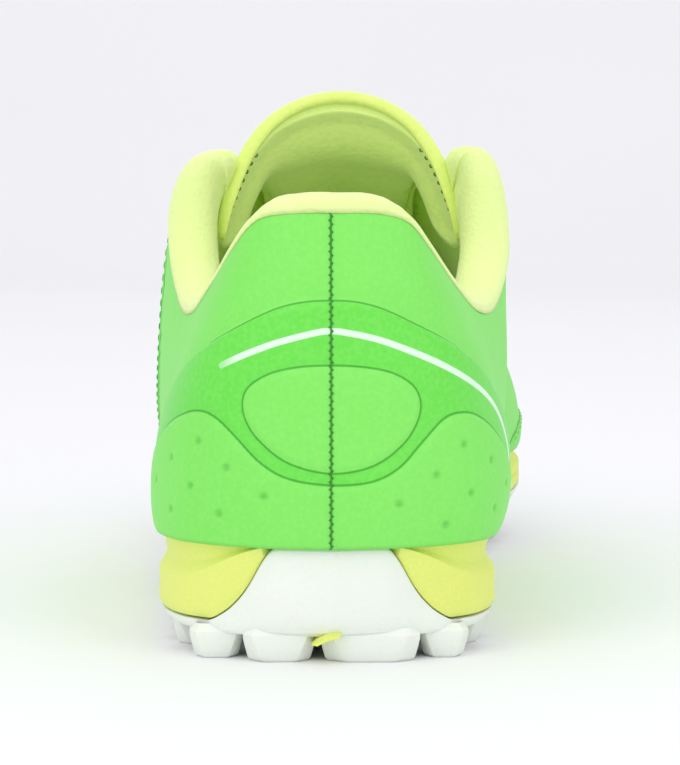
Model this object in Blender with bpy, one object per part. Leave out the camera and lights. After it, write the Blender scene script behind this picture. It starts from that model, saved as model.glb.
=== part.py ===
"""A left turf shoe, standing on its rubber sole, built as a maker would put it together.

The shoe is modelled with its heel at y = 0 and its toe towards +Y, and the medial side at +X.
It is moved at the end, so that the origin is the middle of its bounding box, on the floor.
"""

from collections import namedtuple
from math import atan2, cos, pi, sin

import bmesh
import bpy
import numpy as np
from mathutils import Matrix, Vector

# Overall sizes of the sole, in metres
LENGTH = 0.290
HEEL_WIDTH = 0.074
WAIST_WIDTH = 0.069
BALL_WIDTH = 0.098
HEEL_STACK = 0.0247
WAIST_STACK = 0.0236
BALL_STACK = 0.0250
TOE_STACK = 0.0170
TOE_SPRING = 0.0130

# Upper: heights of its edge above the sole, widths of its collar and throat, and its wall
BACK_RISE = 0.0693
DIP_RISE = 0.0470
INSTEP_RISE = 0.0830
VAMP_RISE = 0.0400
TOE_RISE = 0.0238
COLLAR_WIDTH = 0.074
THROAT_WIDTH = 0.027
UPPER_WALL = 0.0022
UPPER_INSET = 0.0012

# Pieces on and in the upper
COUNTER_THICKNESS = 0.0010
COUNTER_HEIGHT = 0.0514
EYESTAY_THICKNESS = 0.0011
EYESTAY_WIDTH = 0.0150
PAD_THICKNESS = 0.0062
PAD_ROLL = 0.0048
PAD_CORNER_ROLL = 0.0150
PAD_DEPTH = 0.0320
TONGUE_THICKNESS = 0.0052
TONGUE_RISE = 0.0125
TONGUE_SIDES = 0.0095
INSOLE_THICKNESS = 0.0040
EYELET_RADIUS = 0.0023
EYELET_ROWS = 6
LACE_WIDTH = 0.0062
LACE_THICKNESS = 0.0014

# Sole: its rubber plate, cup wall, lugs and the window in the heel
LUG_HEIGHT = 0.0056
LUG_DRAFT = 0.0012
PLATE_THICKNESS = 0.0021
CUP_WALL = 0.0030
SIDE_WRAP = 0.0078
BALL_TUCK = 0.0046
BALL_WRAP = 0.0160
EDGE_ROUND = 0.0022
WINDOW_WIDTH = 0.0095
WINDOW_LENGTH = 0.0660
WINDOW_START = 0.0165

GAP = 0.0003

# Two steps between two sections of the table, but one in the plain stretches of the sole and the upper
SOLE_PLAIN = (4, 17)
UPPER_PLAIN = (11, 18)
UPPER_ROWS = 7

# One row for each profile of the shoe, from the middle of the heel round one side to the toe. The first
# three columns place the sole's edge. The next four place the upper's edge, or the ridge where it is
# closed, with its rise above the sole. Swell is how far the wall stands out between the two, and arch is
# how far it bends over: 0 is a straight wall and 1 is a quarter of an ellipse.
Section = namedtuple(
    "Section",
    "along lateral medial top_along top_middle top_half rise swell_lateral swell_medial arch",
)


def section(along, lateral, medial, top_along, top_middle, top_half, rise, swell_lateral, swell_medial, arch):
    """A row of the table, with its places along the shoe and its middle as shares."""
    return Section(
        along * LENGTH,
        lateral,
        medial,
        top_along * LENGTH,
        top_middle * BALL_WIDTH,
        top_half,
        rise,
        swell_lateral * HEEL_WIDTH,
        swell_medial * HEEL_WIDTH,
        arch,
    )


H, W, B, C, T = HEEL_WIDTH, WAIST_WIDTH, BALL_WIDTH, COLLAR_WIDTH, THROAT_WIDTH
SECTIONS = [
    # along, lateral, medial, top along, top middle, top half, rise, swell lateral, swell medial, arch
    section(0.000, 0.000 * H, 0.000 * H, 0.012, 0.000, 0.000 * C, 1.000 * BACK_RISE, 0.030, 0.030, 0.10),
    section(0.008, 0.180 * H, 0.180 * H, 0.015, 0.000, 0.115 * C, 1.000 * BACK_RISE, 0.030, 0.032, 0.10),
    section(0.030, 0.340 * H, 0.340 * H, 0.026, 0.001, 0.210 * C, 0.975 * BACK_RISE, 0.030, 0.038, 0.12),
    section(0.065, 0.448 * H, 0.445 * H, 0.050, 0.003, 0.281 * C, 0.885 * BACK_RISE, 0.032, 0.048, 0.15),
    section(0.120, 0.502 * H, 0.492 * H, 0.093, 0.008, 0.355 * C, 0.765 * BACK_RISE, 0.036, 0.062, 0.18),
    section(0.200, 0.498 * H, 0.466 * H, 0.162, 0.017, 0.427 * C, 0.990 * DIP_RISE, 0.042, 0.084, 0.22),
    section(0.276, 0.533 * W, 0.462 * W, 0.234, 0.026, 0.482 * C, 1.000 * DIP_RISE, 0.044, 0.108, 0.26),
    section(0.345, 0.533 * W, 0.446 * W, 0.290, 0.031, 0.526 * C, 0.680 * INSTEP_RISE, 0.044, 0.122, 0.32),
    section(0.400, 0.545 * W, 0.446 * W, 0.326, 0.027, 0.528 * C, 0.810 * INSTEP_RISE, 0.042, 0.120, 0.40),
    section(0.445, 0.570 * W, 0.472 * W, 0.350, 0.029, 0.490 * C, 0.890 * INSTEP_RISE, 0.040, 0.110, 0.48),
    section(0.486, 0.405 * B, 0.352 * B, 0.369, 0.033, 1.040 * T, 0.935 * INSTEP_RISE, 0.040, 0.098, 0.54),
    section(0.531, 0.404 * B, 0.394 * B, 0.396, 0.039, 0.700 * T, 0.950 * INSTEP_RISE, 0.038, 0.088, 0.58),
    section(0.579, 0.412 * B, 0.444 * B, 0.441, 0.043, 0.520 * T, 0.880 * INSTEP_RISE, 0.036, 0.076, 0.62),
    section(0.634, 0.416 * B, 0.500 * B, 0.503, 0.046, 0.470 * T, 0.760 * INSTEP_RISE, 0.032, 0.060, 0.68),
    section(0.693, 0.413 * B, 0.546 * B, 0.566, 0.050, 0.440 * T, 0.645 * INSTEP_RISE, 0.028, 0.042, 0.76),
    section(0.752, 0.400 * B, 0.556 * B, 0.624, 0.054, 0.330 * T, 0.540 * INSTEP_RISE, 0.024, 0.028, 0.84),
    section(0.807, 0.380 * B, 0.532 * B, 0.660, 0.058, 0.000 * T, 0.990 * VAMP_RISE, 0.018, 0.020, 0.92),
    section(0.859, 0.360 * B, 0.476 * B, 0.710, 0.064, 0.000 * T, 0.850 * VAMP_RISE, 0.016, 0.016, 0.98),
    section(0.903, 0.309 * B, 0.428 * B, 0.762, 0.069, 0.000 * T, 0.740 * VAMP_RISE, 0.016, 0.016, 1.00),
    section(0.941, 0.240 * B, 0.367 * B, 0.808, 0.073, 0.000 * T, 1.115 * TOE_RISE, 0.016, 0.016, 1.00),
    section(0.972, 0.150 * B, 0.296 * B, 0.846, 0.075, 0.000 * T, 1.055 * TOE_RISE, 0.016, 0.016, 1.00),
    section(0.993, 0.040 * B, 0.197 * B, 0.874, 0.077, 0.000 * T, 1.017 * TOE_RISE, 0.016, 0.016, 1.00),
    section(1.000, -0.078 * B, 0.078 * B, 0.884, 0.078, 0.000 * T, 1.000 * TOE_RISE, 0.016, 0.016, 1.00),
]
LAST = len(SECTIONS) - 1
CORNER = 10.0
THROAT_END = 16
COUNTER_END = 6.3
STAY_START, STAY_END = 10.5, 17.1
LATERAL, MEDIAL = -1, 1


# Curves and sizes that the pieces share


def spline(rows, u):
    """The rows' columns at place u, on a smooth curve through all the rows."""
    u = min(max(u, 0.0), len(rows) - 1.0)
    k = min(int(u), len(rows) - 2)
    s = u - k
    a, b, c, d = (np.array(rows[min(max(k + j, 0), len(rows) - 1)], float) for j in (-1, 0, 1, 2))
    if k == 0:
        a = 2 * b - c
    if k == len(rows) - 2:
        d = 2 * c - b
    return b + 0.5 * s * (c - a + s * (2 * a - 5 * b + 4 * c - d + s * (3 * (b - c) + d - a)))


def at(u):
    """The section at place u of the table, which may lie between two rows."""
    return Section(*spline(SECTIONS, u))


def ease(x, low, high):
    """0 below low and 1 above high, with a smooth rise between them."""
    s = min(max((x - low) / (high - low), 0.0), 1.0)
    return s * s * (3 - 2 * s)


def spring(y):
    """How far the sole's bottom has left the floor, towards the toe."""
    return TOE_SPRING * max(0.0, (y / LENGTH - 0.72) / 0.28) ** 1.8


def bite(y):
    """The height of the line where the sole meets the upper."""
    share = y / LENGTH
    waist = HEEL_STACK + (WAIST_STACK - HEEL_STACK) * ease(share, 0.05, 0.45)
    ball = waist + (BALL_STACK - WAIST_STACK) * ease(share, 0.45, 0.72)
    return spring(y) + ball + (TOE_STACK - BALL_STACK) * ease(share, 0.72, 1.0)


# Height of the yellow midsole's lower edge: from the heel's middle out, along the edge by place u
Wrap = namedtuple("Wrap", "place share_of_stack side_share ball_share")
WRAPS = [
    Wrap(0.0, 1.0, 0.0, 0.0),
    Wrap(1.0, 1.0, 0.0, 0.0),
    Wrap(1.5, 0.45, 0.45, 0.0),
    Wrap(2.0, 0.12, 0.86, 0.0),
    Wrap(2.6, 0.0, 1.0, 0.0),
    Wrap(8.0, 0.0, 1.0, 0.0),
    Wrap(11.0, 0.0, 0.62, 0.38),
    Wrap(14.5, 0.0, 0.0, 1.0),
    Wrap(18.0, 0.45, 0.0, 0.55),
    Wrap(20.5, 1.0, 0.0, 0.0),
    Wrap(22.0, 1.0, 0.0, 0.0),
]


def wrap(u, y):
    """The height to which the rubber outsole wraps up the side at place u of the edge."""
    places = [row.place for row in WRAPS]
    full = np.interp(u, places, [row.share_of_stack for row in WRAPS])
    side = np.interp(u, places, [row.side_share for row in WRAPS])
    ball = np.interp(u, places, [row.ball_share for row in WRAPS])
    return spring(y) + full * (bite(y) - spring(y)) + side * SIDE_WRAP + ball * BALL_WRAP


def edge_places(steps, first=0.0, last=float(LAST)):
    """Places along one side of the shoe, evenly spread between the sections."""
    return [first + (last - first) * k / round((last - first) * steps) for k in range(round((last - first) * steps) + 1)]


def loop_places(plain):
    """Places and sides all round the shoe: heel, lateral side, toe, medial side."""
    one = [u for u in edge_places(2) if not plain[0] < u < plain[1] or u == round(u)]
    return [(u, LATERAL) for u in one] + [(u, MEDIAL) for u in one[-2:0:-1]]


def edge(u, side):
    """The point of the sole's outline at place u of one side, in plan."""
    row = at(u)
    return np.array([-row.lateral if side == LATERAL else row.medial, row.along])


def outward(u, side):
    """The direction out of the shoe at the sole's edge, in plan."""
    step = 0.02
    if u < step:
        return np.array([0.0, -1.0])
    if u > LAST - step:
        return np.array([0.0, 1.0])
    d = edge(u + step, side) - edge(u - step, side)
    n = np.array([d[1], -d[0]]) * side
    return n / np.linalg.norm(n)


def edge_ring(inset, height):
    """A closed ring of points, inset from the sole's outline, with height(u, y) for each."""
    ring = []
    for u, side in loop_places(SOLE_PLAIN):
        inward = inset(u) if callable(inset) else inset
        x, y = edge(u, side) - outward(u, side) * inward
        ring.append((x, y, height(u, y)))
    return ring


def upper_foot(u, side):
    """Where the upper's outer face stands on the sole."""
    x, y = edge(u, side) - outward(u, side) * UPPER_INSET
    return np.array([x, y, bite(y) + GAP])


def upper_top(u, side):
    """The upper's edge at place u, or its ridge where it is closed."""
    row = at(u)
    half = max(row.top_half, 0.0) if u < THROAT_END else 0.0
    return np.array([row.top_middle + side * half, row.top_along, bite(row.along) + row.rise])


def upper_point(u, w, side):
    """A point of the upper's outer face: w is 0 at the sole and 1 at the upper's edge."""
    row, foot, top = at(u), upper_foot(u, side), upper_top(u, side)
    across = (1 - row.arch) * w + row.arch * (1 - cos(w * pi / 2))
    up = (1 - row.arch) * w + row.arch * sin(w * pi / 2)
    swell = row.swell_lateral if side == LATERAL else row.swell_medial
    bulge = swell * sin(pi * min(max(up, 0.0), 1.0) ** 0.7)
    out = outward(u, side)
    plan = foot[:2] + (top[:2] - foot[:2]) * across + out * bulge
    return np.array([plan[0], plan[1], foot[2] + (top[2] - foot[2]) * up])


def upper_frame(u, w, side):
    """Unit vectors at a point of the upper: out of the shoe, and up along the wall."""
    step = 0.02
    lower, higher = upper_point(u, max(w - step, 0.0), side), upper_point(u, min(w + step, 1.0), side)
    before, after = upper_point(max(u - step, 0.0), w, side), upper_point(min(u + step, LAST), w, side)
    up = (higher - lower) / np.linalg.norm(higher - lower)
    round_it = after - before
    if u < step:
        round_it = np.array([side, 0.0, 0.0])
    if u > LAST - step:
        round_it = np.array([-side, 0.0, 0.0])
    out = np.cross(round_it, up) * side
    return out / np.linalg.norm(out), up


def off_upper(u, w, side, distance, rise=0.0):
    """A point at a distance out of the upper's outer face, and a rise along the wall."""
    out, up = upper_frame(u, w, side)
    return upper_point(u, w, side) + out * distance + up * rise


def wall_length(u, side):
    """The length of the upper's wall from the sole to its edge."""
    points = [upper_point(u, k / 12, side) for k in range(13)]
    return sum(np.linalg.norm(b - a) for a, b in zip(points, points[1:]))


# Building


def material(name, colour, roughness):
    made = bpy.data.materials.new(name)
    made.use_nodes = True
    shader = made.node_tree.nodes["Principled BSDF"]
    shader.inputs["Base Color"].default_value = (*colour, 1.0)
    shader.inputs["Roughness"].default_value = roughness
    made.diffuse_color = (*colour, 1.0)
    return made


def collection(name):
    made = bpy.data.collections.new(name)
    bpy.context.scene.collection.children.link(made)
    return made


def from_bmesh(name, mesh, where, finish=None):
    """A named object from a bmesh, with its faces turned out."""
    bmesh.ops.remove_doubles(mesh, verts=mesh.verts, dist=0.00001)
    bmesh.ops.recalc_face_normals(mesh, faces=mesh.faces)
    if mesh.calc_volume(signed=True) < 0:
        bmesh.ops.reverse_faces(mesh, faces=mesh.faces)
    data = bpy.data.meshes.new(name)
    mesh.to_mesh(data)
    mesh.free()
    made = bpy.data.objects.new(name, data)
    where.objects.link(made)
    if finish:
        data.materials.append(finish)
        data.shade_smooth()
        data.set_sharp_from_angle(angle=0.6)
    return made


def add_faces(mesh, grid, closed):
    """Joins the rows of a grid of vertices with faces, and its columns too where it is closed."""
    for a, b in zip(grid, grid[1:]):
        count = len(a)
        for k in range(count if closed else count - 1):
            corners = [a[k], a[(k + 1) % count], b[(k + 1) % count], b[k]]
            distinct = list(dict.fromkeys(corners))
            if len(distinct) > 2 and not mesh.faces.get(distinct):
                mesh.faces.new(distinct)


def cap_across(mesh, ring):
    """Closes a ring of the sole with rungs from its lateral to its medial side."""
    half = len(ring) // 2
    for k in range(half):
        corners = [ring[k], ring[k + 1], ring[-k - 1], ring[-k % len(ring)]]
        distinct = list(dict.fromkeys(corners))
        if len(distinct) > 2:
            mesh.faces.new(distinct)


def ring_stack(name, rings, where, finish):
    """A solid from rings of the sole's outline, closed across the first and the last."""
    mesh = bmesh.new()
    grid = [[mesh.verts.new(p) for p in ring] for ring in rings]
    add_faces(mesh, grid, closed=True)
    cap_across(mesh, grid[0])
    cap_across(mesh, grid[-1])
    return from_bmesh(name, mesh, where, finish)


def swept(name, loops, where, finish):
    """A solid from closed loops, one after another, with flat ends."""
    mesh = bmesh.new()
    grid = [[mesh.verts.new(p) for p in loop] for loop in loops]
    add_faces(mesh, grid, closed=True)
    for end in (grid[0], grid[-1]):
        mesh.faces.new(end)
    return from_bmesh(name, mesh, where, finish)


def shell(name, grids, outer, thickness, where, finish):
    """A shell on the upper's surface from grids of (place, share of height, side).

    Its outer face stands off the upper by outer. Grids that meet are joined, and every free edge is closed.
    """
    points, inner_points, faces = {}, {}, []
    for grid in grids:
        keys = []
        for row in grid:
            keys.append([])
            for u, w, side in row:
                point = off_upper(u, w, side, outer)
                inner = off_upper(u, w, side, outer - thickness)
                if u >= THROAT_END and w > 0.9999:
                    other = -side
                    point = (point + off_upper(u, w, other, outer)) / 2
                    inner = (inner + off_upper(u, w, other, outer - thickness)) / 2
                key = tuple(np.round(point, 6))
                points.setdefault(key, point)
                inner_points.setdefault(key, inner)
                keys[-1].append(key)
        for a, b in zip(keys, keys[1:]):
            for k in range(len(a) - 1):
                corners = list(dict.fromkeys([a[k], a[k + 1], b[k + 1], b[k]]))
                if len(corners) > 2:
                    faces.append(corners)
    mesh = bmesh.new()
    out = {key: mesh.verts.new(p) for key, p in points.items()}
    inside = {key: mesh.verts.new(inner_points[key]) for key in points}
    uses = {}
    for corners in faces:
        mesh.faces.new([out[key] for key in corners])
        mesh.faces.new([inside[key] for key in reversed(corners)])
        for a, b in zip(corners, corners[1:] + corners[:1]):
            uses.setdefault(frozenset((a, b)), []).append((a, b))
    for found in uses.values():
        if len(found) == 1:
            a, b = found[0]
            mesh.faces.new((out[b], out[a], inside[a], inside[b]))
    return from_bmesh(name, mesh, where, finish)


def boolean(target, cutter, operation):
    change = target.modifiers.new(operation.lower(), "BOOLEAN")
    change.operation = operation
    change.object = cutter
    change.solver = "EXACT"


def as_tool(made):
    made.hide_render = True
    made.display_type = "WIRE"
    return made


# Sole


def outsole_rings():
    """The rubber plate with its cup wall, from the inside floor out and down to the bottom."""

    def bottom(u, y):
        return spring(y) + LUG_HEIGHT

    def floor_height(u, y):
        return bottom(u, y) + PLATE_THICKNESS

    def lip(u, y):
        return max(wrap(u, y) - GAP, floor_height(u, y) + GAP)

    def middle(u, y):
        return (lip(u, y) + bottom(u, y)) / 2

    def cup(u):
        return lean(u, 1.0) + CUP_WALL

    return [
        edge_ring(lambda u: cup(u) + 2 * EDGE_ROUND, floor_height),
        edge_ring(cup, lip),
        edge_ring(lambda u: lean(u, 1.0), lip),
        edge_ring(lambda u: lean(u, 0.35) + tuck(u) * 0.6, middle),
        edge_ring(lambda u: EDGE_ROUND * 0.4 + tuck(u), lambda u, y: bottom(u, y) * 0.75 + middle(u, y) * 0.25),
        edge_ring(lambda u: EDGE_ROUND * 1.6 + tuck(u), bottom),
    ]


def tuck(u):
    """How far the sole's bottom edge is tucked in under the ball."""
    return BALL_TUCK * ease(u, 8.5, 12.0) * (1 - ease(u, 17.0, 20.0))


def lean(u, share):
    """How far the sole's side leans in at a share of its height, most at the back of the heel."""
    back = 0.0012 * (1 - ease(u, 1.5, 3.0))
    toe = 0.0030 * ease(u, 17.5, 20.5)
    return (back + toe) * share


def midsole_rings():
    """The foam midsole, from its bottom inside the cup out over the lip and up to the upper."""

    def floor_height(u, y):
        return spring(y) + LUG_HEIGHT + PLATE_THICKNESS + GAP

    def lip(u, y):
        return max(wrap(u, y), floor_height(u, y) + 2 * GAP)

    def ridge(u, y):
        drop = 0.12 + 0.42 * ease(u, 0.9, 3.2) - 0.10 * ease(u, 6.0, 12.0)
        return lip(u, y) + (bite(y) - lip(u, y)) * (1 - drop)

    def between(share):
        return lambda u, y: ridge(u, y) + (bite(y) - ridge(u, y)) * share

    def cup(u):
        return lean(u, 1.0) + CUP_WALL + 2 * GAP

    def face(inset):
        """The side's inset at place u, or the inside of the cup where the rubber covers it all."""

        def found(u):
            y = at(u).along
            bare = min(max((bite(y) - wrap(u, y) - 3 * GAP) / (4 * GAP), 0.0), 1.0)
            return cup(u) + (inset + lean(u, 1.0) * (inset < UPPER_INSET - 0.0005) - cup(u)) * bare

        return found

    return [
        edge_ring(lambda u: cup(u) + 2 * EDGE_ROUND, floor_height),
        edge_ring(cup, lip),
        edge_ring(face(0.0004), lip),
        edge_ring(face(0.0006), ridge),
        edge_ring(face(UPPER_INSET + 0.0008), between(0.30)),
        edge_ring(face(UPPER_INSET - 0.0004), between(0.90)),
        edge_ring(face(UPPER_INSET), between(1.0)),
    ]


# Rows of lugs: place along the shoe, how many stand on each side of the middle, their length along the
# shoe, their width as a share of the room that each has, the free middle as a share of half the sole,
# and how far the outer ones are swept forwards
LugRow = namedtuple("LugRow", "along each_side length width inner sweep")
HEEL_LUG_ROWS = [
    LugRow(0.033, 2, 0.036, 0.95, 0.09, 0.028),
    LugRow(0.108, 2, 0.034, 0.84, 0.24, 0.004),
    LugRow(0.158, 2, 0.034, 0.84, 0.24, 0.000),
    LugRow(0.208, 2, 0.034, 0.84, 0.24, 0.000),
    LugRow(0.258, 2, 0.034, 0.84, 0.24, 0.000),
    LugRow(0.308, 2, 0.034, 0.84, 0.24, 0.000),
]
FRONT_LUG_ROWS = [
    LugRow(0.500, 2, 0.036, 0.80, 0.12, 0.000),
    LugRow(0.556, 3, 0.036, 0.84, 0.07, 0.006),
    LugRow(0.612, 3, 0.036, 0.84, 0.07, -0.006),
    LugRow(0.668, 3, 0.036, 0.84, 0.07, -0.010),
    LugRow(0.724, 3, 0.036, 0.84, 0.07, -0.014),
    LugRow(0.780, 3, 0.036, 0.84, 0.07, -0.018),
    LugRow(0.836, 3, 0.036, 0.84, 0.07, -0.024),
    LugRow(0.892, 2, 0.034, 0.84, 0.10, -0.016),
    LugRow(0.944, 1, 0.032, 0.66, 0.10, 0.000),
]
LUG_EDGE = 0.0046
LUG_PLATE = 0.0008
PLATE_GAP = 0.0004


def width_at(y):
    """The lateral and medial edges of the sole at a distance along it."""
    found = []
    for side in (LATERAL, MEDIAL):
        points = [edge(u, side) for u in edge_places(4)]
        found.append(float(np.interp(y, [p[1] for p in points], [p[0] for p in points])))
    return found


def lug(mesh, x, y, width, length):
    """One lug: an eight-sided block that narrows downwards and sinks its top into its plate."""
    height = LUG_HEIGHT - PLATE_GAP - LUG_PLATE / 2
    slope = atan2(spring(y + 0.001) - spring(y - 0.001), 0.002)
    slope = slope if slope > 0.03 else 0.0
    rings = []
    for z, inset in ((0.0, LUG_DRAFT), (height, LUG_DRAFT * (1 - height / LUG_HEIGHT))):
        half_x, half_y = width / 2 - inset, length / 2 - inset
        cut_x, cut_y = half_x * 0.55, half_y * 0.45
        corners = [
            (half_x, cut_y), (cut_x, half_y), (-cut_x, half_y), (-half_x, cut_y),
            (-half_x, -cut_y), (-cut_x, -half_y), (cut_x, -half_y), (half_x, -cut_y),
        ]
        rings.append([Vector((a, b, z)) for a, b in corners])
    turn = Matrix.Translation((x, y, spring(y))) @ Matrix.Rotation(slope, 4, "X")
    low, high = ([mesh.verts.new(turn @ p) for p in ring] for ring in rings)
    for k in range(8):
        mesh.faces.new((low[k], low[(k + 1) % 8], high[(k + 1) % 8], high[k]))
    mesh.faces.new(low[::-1])
    mesh.faces.new(high)


def lug_places(rows):
    """The middle, width and length of every lug in some rows."""
    for row in rows:
        y = row.along * LENGTH
        left, right = width_at(y + row.sweep * LENGTH)
        left, right = left + LUG_EDGE, right - LUG_EDGE
        middle, half = (left + right) / 2, (right - left) / 2
        for side in (LATERAL, MEDIAL):
            start = row.inner * half
            room = (half - start) / row.each_side
            for k in range(row.each_side):
                centre = middle + side * (start + room * (k + 0.5))
                swept_on = row.sweep * LENGTH * (k / max(row.each_side - 1, 1)) ** 2
                yield centre, y + swept_on, room * row.width, row.length * LENGTH


def lug_plate_loops(first, last):
    """Sections across the thin plate that joins a group of lugs, between two places of the edge."""
    loops = []
    inner = [u for u, side in loop_places(SOLE_PLAIN) if side == LATERAL and first < u < last]
    for u in [first] + inner + [last]:
        ends = []
        for side in (LATERAL, MEDIAL):
            x, y = edge(u, side) - outward(u, side) * (1.6 * EDGE_ROUND + tuck(u) + GAP)
            ends.append(Vector((x, y, spring(y) + LUG_HEIGHT - PLATE_GAP)))
        thick = Vector((0, 0, LUG_PLATE))
        loops.append([ends[0], ends[1], ends[1] - thick, ends[0] - thick])
    return loops


def make_lugs(name, rows, first, last, parts, tools, rubber):
    """A group of lugs on the thin plate that joins them."""
    made = swept(name, lug_plate_loops(first, last), parts, rubber)
    mesh = bmesh.new()
    for x, y, width, length in lug_places(rows):
        lug(mesh, x, y, width, length)
    blocks = as_tool(from_bmesh(name + "_blocks", mesh, tools))
    boolean(made, blocks, "UNION")
    return made


def make_outsole(parts, tools, rubber):
    """The rubber plate and its two groups of lugs, with the window and the groove behind it."""
    outsole = ring_stack("outsole", outsole_rings(), parts, rubber)
    heel = make_lugs("heel_lugs", HEEL_LUG_ROWS, 0.35, 6.9, parts, tools, rubber)
    make_lugs("forefoot_lugs", FRONT_LUG_ROWS, 9.7, 21.0, parts, tools, rubber)
    window = box_tool(
        "window_cutter",
        tools,
        (-WINDOW_WIDTH / 2, WINDOW_START, 0.0),
        (WINDOW_WIDTH / 2, WINDOW_START + WINDOW_LENGTH, HEEL_STACK),
    )
    bpy.ops.mesh.primitive_cylinder_add(
        vertices=16,
        radius=WINDOW_WIDTH * 0.3,
        depth=4 * WINDOW_START,
        location=(0, 0, LUG_HEIGHT),
        rotation=(pi / 2, 0, 0),
    )
    groove = bpy.context.object
    groove.name = "groove_cutter"
    groove.scale = (1, 0.55, 1)
    groove.location.y = WINDOW_START - 2 * WINDOW_START
    move_to(groove, tools)
    for made in (outsole, heel):
        boolean(made, window, "DIFFERENCE")
        boolean(made, as_tool(groove), "DIFFERENCE")
    return outsole


def box_tool(name, where, low, high):
    """A box between two corners, used to cut or to join."""
    middle = [(a + b) / 2 for a, b in zip(low, high)]
    bpy.ops.mesh.primitive_cube_add(size=1, location=middle)
    made = bpy.context.object
    made.name = name
    made.scale = [b - a for a, b in zip(low, high)]
    move_to(made, where)
    return as_tool(made)


def move_to(made, where):
    for old in list(made.users_collection):
        old.objects.unlink(made)
    where.objects.link(made)


def make_midsole(parts, tools, foam):
    midsole = ring_stack("midsole", midsole_rings(), parts, foam)
    pod = box_tool(
        "window_pod",
        tools,
        (-WINDOW_WIDTH / 2 + GAP, WINDOW_START + GAP, LUG_HEIGHT + 0.0008),
        (WINDOW_WIDTH / 2 - GAP, WINDOW_START + WINDOW_LENGTH - GAP, LUG_HEIGHT + PLATE_THICKNESS + 0.004),
    )
    boolean(midsole, pod, "UNION")
    return midsole


def make_insole(parts, cloth):
    """The insole: its edges follow the inside of the upper's wall."""

    def ring(height, inset):
        points = []
        for u, side in loop_places(SOLE_PLAIN):
            low, high = 0.0, 0.5
            for _ in range(16):
                w = (low + high) / 2
                wall = off_upper(u, w, side, -(UPPER_WALL + 4 * GAP))
                if wall[2] > bite(wall[1]) + GAP + height:
                    high = w
                else:
                    low = w
            x, y = wall[:2] - outward(u, side) * inset
            points.append((x, y, bite(y) + GAP + height))
        return points

    rings = [
        ring(0.0, 0.0016),
        ring(INSOLE_THICKNESS * 0.3, 0.0),
        ring(INSOLE_THICKNESS * 0.8, 0.0),
        ring(INSOLE_THICKNESS, 0.0012),
    ]
    return ring_stack("insole", rings, parts, cloth)


# Upper


def make_upper(parts, tools, skin):
    around = loop_places(UPPER_PLAIN)
    around.append(around[0])
    grid = [[(u, j / UPPER_ROWS, side) for u, side in around] for j in range(UPPER_ROWS + 1)]
    upper = shell("upper", [grid], 0.0, UPPER_WALL, parts, skin)
    boolean(upper, tools["eyelets"], "DIFFERENCE")
    return upper


def counter_top(u):
    """The share of the wall that the heel counter covers at place u."""
    height = COUNTER_HEIGHT * (1 - (u / COUNTER_END) ** 1.7)
    return max(height, 0.0) / (at(u).rise - GAP)


def make_counter(parts, skin):
    """The heel counter: an overlay that arches over the back of the heel."""
    places = edge_places(2, 0.0, COUNTER_END - 0.3)
    around = [(u, LATERAL) for u in places[::-1]] + [(u, MEDIAL) for u in places[1:]]
    grid = []
    for j in range(6):
        grid.append([])
        for u, side in around:
            top = max(counter_top(u), 0.05)
            grid[-1].append((u, 0.012 + (top - 0.012) * j / 5, side))
    return shell("heel_counter", [grid], 2 * GAP + COUNTER_THICKNESS, COUNTER_THICKNESS, parts, skin)


def eyestay_width(u):
    """The width of the eyestay on one side, which closes in an arc past the end of the throat."""
    late = min(max((u - 15.0) / (STAY_END - 15.0), 0.0), 1.0)
    return EYESTAY_WIDTH * (1 - 0.15 * ease(u, 12.5, 15.5)) * (1 - late * late) ** 0.65


def make_eyestay(parts, tools, skin):
    """The overlay round the throat that carries the eyelets, from one top corner to the other."""
    grids = []
    for side in (LATERAL, MEDIAL):
        grids.append([])
        for u in edge_places(2, STAY_START, STAY_END - 0.02):
            reach = eyestay_width(u) / wall_length(u, side)
            grids[-1].append([(u, 1 - reach * (1 - j / 4), side) for j in range(5)])
    eyestay = shell("eyestay", grids, GAP + EYESTAY_THICKNESS, EYESTAY_THICKNESS, parts, skin)
    boolean(eyestay, tools["eyelets"], "DIFFERENCE")
    return eyestay


def eyelet_places():
    """The place and side of every eyelet, with its distance down the wall as a share."""
    first, last = STAY_START + 0.55, THROAT_END - 0.9
    for k in range(EYELET_ROWS):
        u = first + (last - first) * k / (EYELET_ROWS - 1)
        for side in (LATERAL, MEDIAL):
            yield u, 1 - 0.44 * eyestay_width(u) / wall_length(u, side), side


def make_eyelet_cutters(tools):
    """One mesh with a short cylinder through each eyelet."""
    mesh = bmesh.new()
    depth = 3 * (UPPER_WALL + EYESTAY_THICKNESS)
    for u, w, side in eyelet_places():
        out, _ = upper_frame(u, w, side)
        place = Matrix.Translation(upper_point(u, w, side))
        turn = Vector(out).to_track_quat("Z", "Y").to_matrix().to_4x4()
        bmesh.ops.create_cone(
            mesh, cap_ends=True, segments=6, radius1=EYELET_RADIUS, radius2=EYELET_RADIUS, depth=depth, matrix=place @ turn
        )
    return as_tool(from_bmesh("eyelet_cutters", mesh, tools))


# Collar padding: a closed loop of points in the wall's own directions. Inside is a share of the pad's
# thickness, over is a share of its roll above the upper's edge, and down is a share of its depth.
PadPoint = namedtuple("PadPoint", "inside over down")
PAD_LOOP = [
    PadPoint(-0.02, 0.06, 0.0),
    PadPoint(-0.04, 0.45, 0.0),
    PadPoint(0.22, 0.86, 0.0),
    PadPoint(0.62, 1.00, 0.0),
    PadPoint(1.05, 0.80, 0.0),
    PadPoint(1.32, 0.15, 0.0),
    PadPoint(1.30, 0.0, 0.28),
    PadPoint(1.05, 0.0, 0.62),
    PadPoint(0.60, 0.0, 1.0),
    PadPoint(0.42, 0.0, 1.0),
]


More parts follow.
